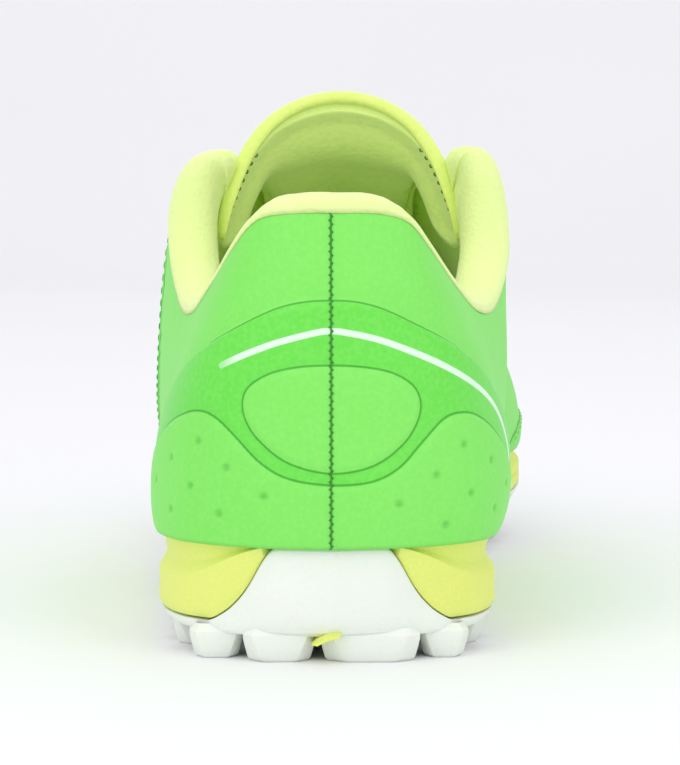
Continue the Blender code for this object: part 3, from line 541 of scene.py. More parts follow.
class Paint:
    """A material's nodes, with short names for the ones used here."""

    def __init__(self, name, roughness=0.5, **sockets):
        self.made = bpy.data.materials.new(name)
        self.made.use_nodes = True
        self.tree = self.made.node_tree
        self.shader = self.tree.nodes["Principled BSDF"]
        self.shader.inputs["Roughness"].default_value = roughness
        for key, value in sockets.items():
            self.shader.inputs[key.replace("_", " ")].default_value = value

    def node(self, kind, **inputs):
        node = self.tree.nodes.new(kind)
        for key, value in inputs.items():
            self.put(node.inputs[key], value)
        return node

    def put(self, socket, value):
        if isinstance(value, bpy.types.NodeSocket):
            self.tree.links.new(value, socket)
        else:
            socket.default_value = value

    def math(self, operation, a, b=0.0, c=None):
        node = self.tree.nodes.new("ShaderNodeMath")
        node.operation = operation
        self.put(node.inputs[0], a)
        self.put(node.inputs[1], b)
        if c is not None:
            self.put(node.inputs[2], c)
        return node.outputs[0]

    def times(self, a, b):
        return self.math("MULTIPLY", a, b)

    def most(self, a, b):
        return self.math("MAXIMUM", a, b)

    def less(self, a, b):
        return self.math("SUBTRACT", a, b)

    def plus(self, a, b):
        return self.math("ADD", a, b)

    def scaled(self, a, factor, start):
        return self.math("MULTIPLY_ADD", a, factor, start)

    def value(self, key):
        node = self.tree.nodes.new("ShaderNodeAttribute")
        node.attribute_name = key
        return node.outputs["Fac"]

    def step(self, value, low, high):
        """0 below low and 1 above high, or the other way round, with a smooth rise."""
        node = self.tree.nodes.new("ShaderNodeMapRange")
        node.interpolation_type = "SMOOTHSTEP"
        flip = low > high
        self.put(node.inputs["Value"], value)
        node.inputs["From Min"].default_value = min(low, high)
        node.inputs["From Max"].default_value = max(low, high)
        node.inputs["To Min"].default_value = 1.0 if flip else 0.0
        node.inputs["To Max"].default_value = 0.0 if flip else 1.0
        return node.outputs["Result"]

    def line(self, value, half, soft=0.15):
        """1 on a line where value is 0, and 0 further than half from it."""
        return self.step(self.math("ABSOLUTE", value), half + soft, max(half - soft, 0.0))

    def mix(self, share, a, b):
        node = self.tree.nodes.new("ShaderNodeMix")
        node.data_type = "RGBA"
        self.put(node.inputs[0], share)
        self.put(node.inputs[6], a)
        self.put(node.inputs[7], b)
        return node.outputs[2]

    def place(self):
        """The point's place on the object, in metres."""
        return self.tree.nodes.new("ShaderNodeTexCoord").outputs["Object"]

    def noise(self, scale, detail=3.0, rough=0.5):
        node = self.node("ShaderNodeTexNoise", Scale=scale, Detail=detail, Roughness=rough)
        self.tree.links.new(self.place(), node.inputs["Vector"])
        return node.outputs["Fac"]

    def cells(self, scale, feature="F1"):
        node = self.node("ShaderNodeTexVoronoi", Scale=scale)
        node.feature = feature
        self.tree.links.new(self.place(), node.inputs["Vector"])
        return node.outputs["Distance"]

    def bump(self, height, distance, strength=1.0, after=None):
        node = self.node("ShaderNodeBump", Height=height, Distance=distance, Strength=strength)
        if after is not None:
            self.tree.links.new(after, node.inputs["Normal"])
        return node.outputs["Normal"]

    def finish(self, colour, roughness=None, normal=None):
        self.put(self.shader.inputs["Base Color"], colour)
        if roughness is not None:
            self.put(self.shader.inputs["Roughness"], roughness)
        if normal is not None:
            self.tree.links.new(normal, self.shader.inputs["Normal"])
        return self.made


# The upper's lines, in millimetres: distance round the wall from the heel's middle (lateral is
# negative) and height. They were traced from the photograph on to the wall.

COUNTER_LINE = [
    (-71, 22), (-70, 32), (-67, 41), (-61, 48.5), (-52, 55.0), (-39.8, 61.6), (-22.8, 69.0), (-10, 74.6),
    (0, 75.9), (9, 74.7), (20.7, 69.6), (37.9, 62.2), (49.6, 55.6), (58, 48.5), (64, 40), (67, 32),
    (68, 22),
]
STRIPE_LINE = [
    (-23.7, 62.0), (-17, 64.9), (-10.2, 67.4), (-3, 69.3), (0, 69.6), (3, 69.3), (9.6, 67.8),
    (18.6, 64.4), (30.3, 59.3), (40.6, 54.6), (47.5, 50.4), (52.5, 45.5), (55.6, 40), (57, 33),
]
POD_LINE = [
    (0, 62.6), (-7, 62.2), (-13, 60.6), (-17.4, 57.6), (-18.5, 54.0), (-17.4, 50.4), (-14.6, 46.8),
    (-8.6, 42.4), (0, 40.4), (8.4, 41.8), (14.6, 46.0), (17.8, 50.4), (18.7, 54.6), (17.0, 58.2),
    (12.6, 60.9), (7, 62.2),
]
WAVE_LINE = [
    (-66, 22), (-65, 33), (-58, 41.5), (-46, 47.8), (-36, 51.2), (-29.5, 52.3), (-24.8, 51.2),
    (-20.4, 47.9), (-14.5, 42.4), (-8.5, 39.2), (0, 38.0), (8.2, 38.6), (14.1, 41.5), (19.4, 46.9),
    (24.4, 51.2), (29.6, 52.0), (35.4, 50.7), (43.0, 47.2), (51, 42.0), (59, 34), (62, 22),
]
DIMPLES = [
    (-29.3, 46.2), (-39.6, 41.8), (-21.9, 41.2), (-31.5, 36.7), (-38.8, 31.0), (-13.7, 35.6),
    (-23.7, 31.5), (-49.5, 36.0), (29.2, 45.5), (39.0, 41.3), (22.1, 39.6), (31.3, 35.2), (13.8, 34.0),
    (24.4, 29.1), (41.0, 31.0), (49.0, 35.5),
]

# Lines on the rest of the upper: place along one side of the shoe and share of the wall's height
TOE_CAP_LINE = [
    (22.0, 0.60), (20.6, 0.62), (19.3, 0.50), (18.2, 0.34), (17.0, 0.23), (15.6, 0.17), (14.2, 0.12),
    (13.0, 0.02),
]
SADDLE_BACK_LINE = [
    (9.2, 0.97), (8.6, 0.80), (8.2, 0.60), (8.3, 0.40), (8.9, 0.22), (9.8, 0.08), (10.4, 0.0),
]
SADDLE_FRONT_LINE = [
    (15.2, 0.78), (14.6, 0.62), (14.1, 0.48), (13.4, 0.34), (12.5, 0.20), (11.6, 0.08), (11.0, 0.0),
]
COUNTER_RAISE = 0.0013
PANEL_RAISE = 0.0005


def sewn_line(rows, shift, side):
    """Stitches beside one of the upper's lines, on the overlay: a shift above 0 is towards the toe."""
    points, normals = [], []
    for u, w in smooth_curve([(a * 20, b * 60) for a, b in rows], 1.0) / np.array([20, 60]):
        if 0.05 < w < 0.985 and u < LAST - 0.02:
            out, up = upper_frame(u, w, side)
            points.append(upper_point(u, w, side) + out * 0.00056)
            normals.append(out)
    points, normals = np.array(points), np.array(normals)
    ahead = np.gradient(points, axis=0)
    ahead /= np.linalg.norm(ahead, axis=1, keepdims=True)
    across = np.cross(normals, ahead)
    points = points + across * np.sign(across[:, 1:2]) * shift
    return stitches(points, normals, 0.0021, 0.0010, 0.00016, 0.00002)


def surface_lines(places, shares, grid, lengths):
    """The distance from every point of the wall to each line, in millimetres, by name."""
    flat = np.stack([lengths.ravel() * 1000, grid[..., 2].ravel() * 1000], axis=1)
    found = {"round": flat[:, 0], "high": flat[:, 1]}
    for key, rows in (("counter", COUNTER_LINE), ("wave", WAVE_LINE), ("pod", POD_LINE)):
        line = smooth_curve(rows, 1.0, closed=key == "pod")
        gap, _ = distance_to(line, flat)
        loop = line if key == "pod" else np.concatenate([line, [[line[-1][0], 0.0], [line[0][0], 0.0]]])
        found[key] = np.where(inside_loop(loop, flat), gap, -gap)
    found["stripe"], _ = distance_to(smooth_curve(STRIPE_LINE, 1.0), flat)
    near = np.full(len(flat), 1e3)
    for spot in DIMPLES:
        near = np.minimum(near, np.linalg.norm((flat - np.array(spot)) * np.array([1.0, 1.15]), axis=1))
    found["dimple"] = near
    # The other lines are measured in place and share, scaled to millimetres by the wall's own sizes
    side_places = np.array(list(places)[::-1] + list(places)[1:])
    u = np.repeat(side_places, len(shares))
    w = np.tile(np.array(shares), len(side_places))
    heights = np.linalg.norm(np.diff(grid, axis=1), axis=2).sum(1) * 1000
    tall = np.repeat(heights, len(shares))
    along = np.interp(u, places, np.abs(lengths[len(places) - 1 :, 0]) * 1000)
    here = np.stack([along, w * tall], axis=1)
    for key, rows in (("cap", TOE_CAP_LINE), ("back", SADDLE_BACK_LINE), ("front", SADDLE_FRONT_LINE)):
        fine = smooth_curve([(a * 20, b * 60) for a, b in rows], 1.0) / np.array([20, 60])
        line_along = np.interp(fine[:, 0], places, np.abs(lengths[len(places) - 1 :, 0]) * 1000)
        line_tall = np.interp(fine[:, 0], places, heights[len(places) - 1 :])
        line = np.stack([line_along, fine[:, 1] * line_tall], axis=1)
        gap, _ = distance_to(line, here)
        if key == "cap":
            reach = np.interp(u, fine[::-1, 0], fine[::-1, 1])
            within = (w < reach) & (u > fine[:, 0].min())
        else:
            edge_place = np.interp(w, fine[::-1, 1], fine[::-1, 0])
            within = u > edge_place
        found[key] = np.where(within, gap, -gap)
    found["edge"] = (1 - w) * tall
    found["foot"] = w * tall
    found["place"] = u
    return found


def upper_relief(found):
    """How far each point of the skin stands off the upper's CAD face, in metres."""
    counter = rise(found["counter"], -0.5, 0.9) * COUNTER_RAISE
    panel = np.maximum(rise(found["wave"], -0.15, 1.1), rise(found["pod"], -0.15, 1.1))
    relief = counter + panel * PANEL_RAISE * rise(found["counter"], 0.4, 1.4)
    groove = np.maximum(1 - np.abs(found["wave"]) / 0.9, 1 - np.abs(found["pod"]) / 0.9)
    relief = relief - 0.00028 * np.clip(groove, 0, 1) * (found["counter"] > 1)
    relief = relief - 0.00040 * np.clip(1 - found["dimple"] / 1.5, 0, 1) ** 0.7 * (found["wave"] > 0.5)
    cap = rise(found["cap"], -0.4, 0.6) * 0.0007
    saddle = rise(found["back"], -0.4, 0.5) * (1 - rise(found["front"], -0.5, 0.4)) * 0.0006
    relief = relief + np.maximum(cap, saddle)
    return relief


def upper_skin_material():
    paint = Paint("green_skin", 0.42, Coat_Weight=0.10, Coat_Roughness=0.30, Specular_IOR_Level=0.42)
    counter, wave, pod = paint.value("counter"), paint.value("wave"), paint.value("pod")
    panel = paint.most(paint.step(wave, -0.1, 0.5), paint.step(pod, -0.1, 0.5))
    in_counter = paint.step(counter, -0.1, 0.5)
    band = paint.times(in_counter, paint.less(1.0, panel))
    cloud = paint.noise(26.0, 3.0, 0.55)
    fine = paint.noise(900.0, 2.0, 0.6)
    green = paint.mix(cloud, srgb("7ae356"), srgb("86ea64"))
    deep = paint.mix(cloud, srgb("5fdb3d"), srgb("70e24e"))
    colour = paint.mix(band, green, deep)
    before_saddle = paint.step(paint.value("front"), 0.3, -0.1)
    saddle = paint.times(paint.step(paint.value("back"), -0.1, 0.3), before_saddle)
    overlay = paint.most(paint.step(paint.value("cap"), -0.1, 0.3), saddle)
    colour = paint.mix(paint.times(overlay, 0.45), colour, deep)
    place = paint.value("place")
    from_start = paint.step(place, STAY_START, STAY_START + 0.1)
    throat = paint.times(from_start, paint.step(place, STAY_END - 0.3, STAY_END - 0.4))
    rolled = paint.times(paint.step(paint.value("edge"), 0.5, 0.1), throat)
    colour = paint.mix(rolled, colour, srgb("d9ee62"))
    speck = paint.times(paint.step(fine, 0.42, 0.62), 0.16)
    colour = paint.mix(speck, colour, srgb("99f27a"))
    stripe = paint.step(paint.value("stripe"), 0.78, 0.52)
    thin_end = paint.step(paint.value("round"), -24.0, -19.0)
    stripe = paint.times(stripe, paint.scaled(thin_end, 0.6, 0.4))
    colour = paint.mix(stripe, colour, srgb("e2fbe4"))
    lines = paint.most(paint.line(counter, 0.20, 0.12), paint.line(pod, 0.22, 0.12))
    lines = paint.most(lines, paint.line(wave, 0.22, 0.12))
    for key in ("cap", "back", "front"):
        shown = paint.line(paint.value(key), 0.20, 0.12)
        if key != "cap":
            shown = paint.times(shown, paint.step(paint.value("edge"), 1.0, 2.0))
        lines = paint.most(lines, shown)
    # Painted shade: the vent holes and the dimples' pits are darkened where shade falls into them.
    holes = pinholes(paint)
    lines = paint.most(lines, paint.times(holes, 0.9))
    pit = paint.times(paint.step(paint.value("dimple"), 1.5, 0.2), paint.step(wave, 0.3, 0.8))
    lines = paint.most(lines, paint.times(pit, 0.55))
    colour = paint.mix(paint.times(lines, 0.85), colour, srgb("33a31c"))
    rough = paint.scaled(band, -0.14, 0.50)
    rough = paint.scaled(fine, 0.10, rough)
    pores = paint.cells(1500.0)
    grain = paint.cells(650.0, "SMOOTH_F1")
    height = paint.plus(paint.times(pores, 0.35), paint.times(grain, 0.65))
    plain = paint.less(1.0, paint.times(band, 0.55))
    normal = paint.bump(paint.times(height, plain), 0.00012, 0.55)
    normal = paint.bump(paint.noise(60.0, 2.0), 0.0006, 0.25, normal)
    normal = paint.bump(paint.less(1.0, holes), 0.0004, 0.8, normal)
    return paint.finish(colour, rough, normal)


def pinholes(paint, pitch=4.6):
    """Staggered rows of small vent holes over the vamp, between the saddle and the toe cap."""
    down, along = paint.value("edge"), paint.value("round")
    row = paint.math("DIVIDE", down, pitch)
    odd = paint.math("MODULO", paint.math("FLOOR", row), 2.0)
    across = paint.math("DIVIDE", paint.scaled(odd, pitch / 2, along), pitch)
    a = paint.less(paint.math("FRACT", paint.plus(across, 200.0)), 0.5)
    b = paint.less(paint.math("FRACT", row), 0.5)
    away = paint.math("SQRT", paint.plus(paint.times(a, a), paint.times(b, b)))
    spot = paint.step(away, 0.125, 0.085)
    room = (("front", 4.5, 5.0), ("cap", -4.0, -4.5), ("edge", 4.0, 4.5), ("edge", 33.0, 32.0))
    for key, low, high in room:
        spot = paint.times(spot, paint.step(paint.value(key), low, high))
    return spot


def make_upper_skin():
    """The upper's outer face with its panels, its rolled edge and its foot, as one dense skin."""
    places, shares = around(190, 90, 60), np.linspace(0.0, 1.0, 84)
    base = full_wall(places, shares)
    out = normals_of(base)
    lengths = arc_lengths(base)
    found = surface_lines(places, shares, base, lengths)
    relief = upper_relief(found).reshape(base.shape[:2])
    skin = base + out * relief[..., None]
    # The wall's edge rolls over and down inside; the foot turns under on the sole
    inner = base - out * UPPER_WALL
    rim = (skin[:, -1] + inner[:, -1]) / 2 + np.array([0, 0, 0.0002])
    under = base[:, 0] - out[:, 0] * UPPER_WALL
    grid = np.stack([under, *skin.swapaxes(0, 1), rim, inner[:, -1], inner[:, -2], inner[:, -3]], axis=1)
    values = {}
    for key, numbers in found.items():
        table = numbers.reshape(base.shape[:2])
        values[key] = np.pad(table, ((0, 0), (1, 4)), "edge").ravel()
    piece = grid_piece("upper_skin", grid, upper_skin_material(), values=values, merge=0.00008)
    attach(piece, "root")
    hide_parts("upper", "heel_counter")
    return base, out, skin


# Sizes of the eyestay, the padding, the tongue and the laces, as the CAD part has them


def eyestay_width(u):
    """The width of the eyestay on one side, which closes in an arc past the end of the throat."""
    late = min(max((u - 15.0) / (STAY_END - 15.0), 0.0), 1.0)
    return EYESTAY_WIDTH * (1 - 0.15 * ease(u, 12.5, 15.5)) * (1 - late * late) ** 0.65


def eyelet_places():
    """The place and side of every eyelet, with its distance down the wall as a share."""
    first, last = STAY_START + 0.55, THROAT_END - 0.9
    for k in range(EYELET_ROWS):
        u = first + (last - first) * k / (EYELET_ROWS - 1)
        for side in (LATERAL, MEDIAL):
            yield u, 1 - 0.44 * eyestay_width(u) / wall_length(u, side), side


# Collar padding: a closed loop of points in the wall's own directions. Inside is a share of the pad's
# thickness, over is a share of its roll above the upper's edge, and down is a share of its depth.
PadPoint = namedtuple("PadPoint", "inside over down")
PAD_LOOP = [
    PadPoint(-0.02, 0.06, 0.0),
    PadPoint(-0.04, 0.45, 0.0),
    PadPoint(0.22, 0.86, 0.0),
    PadPoint(0.62, 1.00, 0.0),
    PadPoint(1.05, 0.80, 0.0),
    PadPoint(1.32, 0.15, 0.0),
    PadPoint(1.30, 0.0, 0.28),
    PadPoint(1.05, 0.0, 0.62),
    PadPoint(0.60, 0.0, 1.0),
    PadPoint(0.42, 0.0, 1.0),
]


def pad_fullness(u):
    """The pad's thickness as a share: full round the ankle and thin at the throat."""
    return 1 - 0.45 * ease(u, 9.2, CORNER)


def pad_roll(u):
    """How far the pad stands above the upper's edge, most at the front corners of the collar."""
    return PAD_ROLL + (PAD_CORNER_ROLL - PAD_ROLL) * ease(u, 6.6, 8.4) * (1 - 0.30 * ease(u, 9.3, CORNER))


def pad_loop(u, side):
    """The pad's section at place u. Its outer face follows the wall's inner face."""
    thick, depth = PAD_THICKNESS * pad_fullness(u), min(PAD_DEPTH / wall_length(u, side), 0.75)
    face = -(UPPER_WALL + 1.5 * GAP)
    loop = []
    for p in PAD_LOOP:
        if p.down == 0.0 and p.over > 0.0:
            lean_in = 0.11 * p.over * (pad_roll(u) - PAD_ROLL)
            inside = -p.inside * (thick + UPPER_WALL) - lean_in
            loop.append(off_upper(u, 1.0, side, inside, p.over * pad_roll(u) * 1.04 - 0.0005))
        elif p.inside > 0.5:
            loop.append(off_upper(u, 1 - p.down * depth, side, face - (p.inside - 0.3) * thick))
        else:
            loop.append(off_upper(u, 1 - p.down * depth, side, face))
    for down in (0.55, 0.0):
        loop.append(off_upper(u, 1 - down * depth, side, face, GAP if down == 0.0 else 0.0))
    return loop


# The tongue's free end, behind the top eyelets. Behind is its distance from the last place under the
# upper, half is half its width and drop is how far its sides hang, as shares of the throat's width. Top
# is its height as a share of the tongue's rise, and blend is how much of the arch has taken over.
TongueEnd = namedtuple("TongueEnd", "behind half drop top blend thickness")
TONGUE_END = [
    TongueEnd(0.14, 0.80, 0.72, 0.36, 0.60, 0.90),
    TongueEnd(0.28, 0.93, 0.86, 0.66, 1.00, 1.00),
    TongueEnd(0.42, 0.97, 0.93, 0.88, 1.00, 1.00),
    TongueEnd(0.54, 0.97, 0.95, 0.99, 1.00, 0.90),
    TongueEnd(0.60, 0.92, 0.92, 0.98, 1.00, 0.55),
]
TONGUE_POINTS = 6
TONGUE_BASE = 10.65


def tongue_section(u):
    """The tongue's outer face across the shoe, under the upper's wall and over the open throat."""
    under = -(UPPER_WALL + 2 * GAP + 3 * GAP * ease(u, 13.5, THROAT_END))
    sides = []
    for side in (LATERAL, MEDIAL):
        reach = (0.0050 + 0.0090 * ease(u, TONGUE_BASE, 12.5)) / wall_length(u, side)
        sides.append([off_upper(u, 1 - reach + reach * k / 3, side, under) for k in range(4)])
    left, right = sides
    crown = []
    for k in range(1, TONGUE_POINTS):
        s = k / TONGUE_POINTS
        flat = left[-1] * (1 - s) + right[-1] * s
        flat[2] += 0.17 * np.linalg.norm(right[-1] - left[-1]) * sin(pi * s)
        crown.append(flat)
    return left + crown + right[::-1]


def tongue_end_section(row, base):
    """A section of the tongue's free end, as an arch over the instep."""
    middle, count = base[len(base) // 2], len(base)
    half, drop = row.half * THROAT_WIDTH, row.drop * THROAT_WIDTH
    made = []
    for k, under in enumerate(base):
        angle = pi * (k / (count - 1) - 0.5)
        x = middle[0] + half * sin(angle) * (1 + TONGUE_FLARE * (1 - cos(angle)))
        z = middle[2] + row.top * TONGUE_RISE - drop * (1 - cos(angle)) - TONGUE_SIDES * abs(sin(angle)) ** 8
        y = middle[1] - row.behind * THROAT_WIDTH - 0.06 * half * (1 - cos(angle))
        arch = np.array([x, y, z])
        start = np.array([under[0], y, under[2]])
        made.append(start * (1 - row.blend) + arch * row.blend)
    return made


def lace_line(u):
    """Points of one lace bar from eyelet to eyelet over the tongue, each with its way up."""
    lift = EYESTAY_THICKNESS + 3 * GAP + LACE_THICKNESS / 2
    sides = []
    for side in (LATERAL, MEDIAL):
        eyelet = 1 - 0.44 * eyestay_width(u) / wall_length(u, side)
        spots = [(eyelet - 0.2 * (1 - eyelet)), (1 + eyelet) / 2, 1.0]
        sides.append([(off_upper(u, w, side, lift), upper_frame(u, w, side)[0]) for w in spots])
    left, right = sides
    crest = tongue_section(u)[4 + TONGUE_POINTS // 2 - 1]
    middle = (left[-1][0] + right[-1][0]) / 2
    middle[2] = max(middle[2], crest[2] + LACE_THICKNESS / 2 + 3 * GAP)
    up = left[-1][1] + right[-1][1]
    up = up / np.linalg.norm(up)
    over = []
    for point, out in (left[-1], right[-1]):
        quarter = (point + middle) / 2
        quarter[2] = max(quarter[2], middle[2] - (middle[2] - point[2]) * 0.28)
        over.append((quarter, (up + out) / np.linalg.norm(up + out)))
    return left + [over[0], (middle, up), over[1]] + right[::-1]


# Cloth and padding


def knit_material(name, light, deep, scale=1.0, sheen=0.35):
    """A fine knitted lining, with its loops, small shadows between them and a soft sheen."""
    paint = Paint(name, 0.88, Sheen_Weight=sheen, Sheen_Roughness=0.45, Specular_IOR_Level=0.25)
    loops = paint.cells(1150.0 * scale, "SMOOTH_F1")
    threads = paint.noise(2400.0 * scale, 2.0, 0.6)
    cloud = paint.noise(30.0, 3.0, 0.5)
    colour = paint.mix(cloud, srgb(light), srgb(deep))
    pit = paint.step(loops, 0.42, 0.75)
    colour = paint.mix(paint.times(pit, 0.45), colour, srgb(deep))
    height = paint.less(paint.times(threads, 0.4), loops)
    normal = paint.bump(height, 0.00025, 0.6)
    normal = paint.bump(paint.noise(95.0, 2.0), 0.0008, 0.35, normal)
    rough = paint.scaled(threads, 0.15, 0.78)
    return paint.finish(colour, rough, normal)


def thread_material(name, colour):
    paint = Paint(name, 0.55, Sheen_Weight=0.3, Specular_IOR_Level=0.4)
    twist = paint.noise(3000.0, 2.0, 0.6)
    shade = paint.mix(twist, srgb(colour), tuple(0.62 * c for c in srgb(colour)[:3]) + (1.0,))
    return paint.finish(shade, None, paint.bump(twist, 0.0001, 0.5))


def resample_loop(points, count):
    points = np.asarray(points, float)
    many = len(points)
    fine = []
    for k in range(many):
        a, b, c, d = (points[(k + j) % many] for j in (-1, 0, 1, 2))
        for s in np.linspace(0, 1, 8, endpoint=False):
            fine.append(b + 0.5 * s * (c - a + s * (2 * a - 5 * b + 4 * c - d + s * (3 * (b - c) + d - a))))
    fine = np.array(fine + [fine[0]])
    lengths = walked_along(fine)
    places = np.linspace(0, lengths[-1], count, endpoint=False)
    return sampled(places, lengths, fine)


def make_pad(paint):
    """The collar's padding: a crowned roll over the edge and its lining down inside."""
    steps = 150
    places = [(CORNER * k / steps) for k in range(steps + 1)]
    ring = [(u, LATERAL) for u in places[::-1]] + [(u, MEDIAL) for u in places[1:]]
    loops = []
    for u, side in ring:
        loop = resample_loop(pad_loop(u, side), 44)
        close = min((CORNER - u) / 0.30, 1.0)
        full = 0.12 + 0.88 * sqrt(max(1 - (1 - close) ** 2, 0.0))
        middle = loop.mean(0)
        loops.append(middle + (loop - middle) * full)
    grid = np.array(loops)
    # Even swelling between the seam at the edge and the seam inside, with faint puckers along it
    count = len(ring)
    for k in range(count):
        pucker = 0.00003 * sin(k * 0.31) + 0.00003 * sin(k * 0.17 + 1.0)
        middle = grid[k].mean(0)
        grid[k] += (grid[k] - middle) / 0.006 * pucker
    piece = face_out(grid_piece("collar_padding", grid, paint, closed_columns=True, ends=True))
    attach(piece, "root")
    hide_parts("collar_pad")


def make_lining(base, out, paint):
    """The cloth inside the upper's wall, below the padding and forward to the toe."""
    picked = list(range(0, len(base), 3))
    if picked[-1] != len(base) - 1:
        picked.append(len(base) - 1)
    inner = base[picked][:, ::4] - out[picked][:, ::4] * (UPPER_WALL + 0.00005)
    piece = grid_piece("upper_lining", inner, paint)
    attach(piece, "root")


def tongue_sections():
    """The tongue's outer face: fine cross-sections from its hidden front to its free end."""
    first, step = THROAT_END + 1.1, 0.12
    base_places = [first - k * step for k in range(int((first - TONGUE_BASE) / step) + 1)] + [TONGUE_BASE]
    sections = [np.array(tongue_section(u)) for u in base_places]
    thickness = [0.35 + 0.55 * ease(k, 0, 30) for k in range(len(sections))]
    base = [np.array(p) for p in sections[-1]]
    table = [TongueEnd(0.0, 0.80, 0.72, 0.30, 0.0, 0.90)] + TONGUE_END
    for k in range(1, 6 * (len(table) - 1) + 1):
        row = TongueEnd(*spline(table, k / 6))
        row = row._replace(blend=min(max(row.blend, 0.0), 1.0), thickness=min(max(row.thickness, 0.4), 1.0))
        sections.append(np.array(tongue_end_section(row, base)))
        thickness.append(row.thickness)
    return sections, thickness


def make_tongue(paint):
    """The tongue: a padded outer face, a lining under it and a rolled edge round its free end."""
    sections, thickness = tongue_sections()
    across_count = 56
    outer, inner = [], []
    for k, (points, share) in enumerate(zip(sections, thickness)):
        fine = smooth_open(points, across_count)
        before, after = sections[max(k - 1, 0)], sections[min(k + 1, len(sections) - 1)]
        middle = len(points) // 2
        along = after[middle] - before[middle]
        outer.append(fine)
        under = []
        for j, p in enumerate(fine):
            across = fine[min(j + 1, across_count - 1)] - fine[max(j - 1, 0)]
            down = np.cross(across, along)
            down = down / max(np.linalg.norm(down), 1e-12)
            if down[2] > 0:
                down = -down
            taper = 0.45 + 0.55 * sin(pi * j / (across_count - 1))
            under.append(p + down * TONGUE_THICKNESS * share * taper)
        inner.append(np.array(under))
    outer, inner = np.array(outer), np.array(inner)
    for _ in range(5):
        for face in (outer, inner):
            face[1:-1] = face[1:-1] * 0.5 + (face[:-2] + face[2:]) * 0.25
    # The free edge is rounded over
    middle, half = (outer[-1] + inner[-1]) / 2, (outer[-1] - inner[-1]) / 2
    ahead = outer[-1] - outer[-3]
    ahead /= np.linalg.norm(ahead, axis=1, keepdims=True)
    reach = np.linalg.norm(half, axis=1, keepdims=True)
    full_rows = len(outer)
    turns = (0.4, 0.8, 1.15, 1.4, 1.52)
    outer = np.concatenate([outer, [middle + half * cos(a) + ahead * reach * sin(a) for a in turns]])
    inner = np.concatenate([inner, [middle - half * cos(a) + ahead * reach * sin(a) for a in turns]])
    loops = np.concatenate([outer, inner[:, ::-1]], axis=1)
    inside = np.zeros(loops.shape[:2])
    inside[:, across_count:] = rise(full_rows - np.arange(len(loops)), 1.0, 3.0)[:, None]
    values = {"inside": inside.ravel()}
    piece = face_out(grid_piece("tongue_skin", loops, paint, closed_columns=True, ends=True, values=values))
    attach(piece, "root")
    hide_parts("tongue")
    bits = []
    k = full_rows - 6
    for columns in (range(3, 15), range(across_count - 15, across_count - 3)):
        line = [inner[k, j] for j in columns]
        normals = [inner[k, j] - outer[k, j] for j in columns]
        bits += stitches(line, normals, 0.0009, 0.0013, 0.00022)
    points, faces = gather(bits)
    sewn = mesh_piece("tongue_stitches", points, faces, thread_material("lining_thread", "6f8f22"))
    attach(sewn, "root")


def smooth_open(points, count):
    """An open smooth line through some points, with count even points on it."""
    rows = [tuple(p) for p in points]
    fine = np.array([spline(rows, (len(rows) - 1) * k / 160) for k in range(161)])
    lengths = walked_along(fine)
    places = np.linspace(0, lengths[-1], count)
    return sampled(places, lengths, fine)


def tongue_material():
    """Bright woven cloth outside and a paler brushed lining inside."""
    paint = Paint("tongue_cloth", 0.8, Sheen_Weight=0.35, Specular_IOR_Level=0.3)
    inside = paint.step(paint.value("inside"), 0.3, 0.9)
    mesh = paint.cells(900.0, "SMOOTH_F1")
    cloud = paint.noise(34.0, 3.0)
    face = paint.mix(cloud, srgb("e8f98a"), srgb("dff47a"))
    lining = paint.mix(cloud, srgb("eeffa4"), srgb("e2fd90"))
    colour = paint.mix(inside, face, lining)
    # Painted shade: the cloth is a little darker in the hollows between the mesh's cells.
    colour = paint.mix(paint.times(paint.step(mesh, 0.4, 0.75), 0.12), colour, srgb("a5d848"))
    height = paint.less(paint.times(paint.noise(2600.0), 0.4), mesh)
    normal = paint.bump(height, 0.00025, 0.55)
    normal = paint.bump(paint.noise(80.0, 2.0), 0.0009, 0.4, normal)
    return paint.finish(colour, paint.scaled(mesh, 0.15, 0.72), normal)


def make_eyestay(paint, thread):
    """The overlay round the throat, with rounded edges, two rows of stitches and its eyelets."""
    bits, rings = [], []
    for side in (LATERAL, MEDIAL):
        loops, lines = [], {"outer": [], "second": [], "throat": []}
        for k in range(121):
            u = STAY_START + (STAY_END - 0.02 - STAY_START) * k / 120
            length = wall_length(u, side)
            reach = eyestay_width(u) / length
            width = eyestay_width(u) * 1000
            loop = []
            for j in range(15):
                share = j / 14
                w = 1 - reach * (1 - share)
                edge_gap = min(share, 1 - share) * width
                high = EYESTAY_THICKNESS * (0.35 + 0.65 * ease(edge_gap, 0.0, 0.7))
                loop.append(stay_point(u, w, side, GAP + high))
            for j in range(14, -1, -1):
                w = 1 - reach * (1 - j / 14)
                loop.append(stay_point(u, w, side, -0.0002))
            loops.append(loop)
            near, far = 0.0014 / length, 0.0032 / length
            rows = {"outer": reach - near, "second": reach - far, "throat": near}
            for key, down in rows.items():
                if 0 < down < reach and (key != "throat" or u < THROAT_END) and width > 4.5:
                    out, _ = upper_frame(u, 1 - down, side)
                    lines[key].append((stay_point(u, 1 - down, side, GAP + EYESTAY_THICKNESS), out))
        grid = np.array(loops)
        name = "eyestay_lateral" if side == LATERAL else "eyestay_medial"
        piece = face_out(grid_piece(name, grid, paint, closed_columns=True, ends=True, merge=0.00001))
        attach(piece, "root")
        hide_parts("eyestay")
        for key, points in lines.items():
            if len(points) > 3:
                bits += stitches([p for p, _ in points], [n for _, n in points])
    for u, w, side in eyelet_places():
        out, up = upper_frame(u, w, side)
        centre = off_upper(u, w, side, GAP + EYESTAY_THICKNESS)
        rings.append(eyelet_ring(centre, out, up))
    points, faces = gather(bits)
    sewn = mesh_piece("eyestay_stitches", points, faces, thread)
    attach(sewn, "root")
    return rings


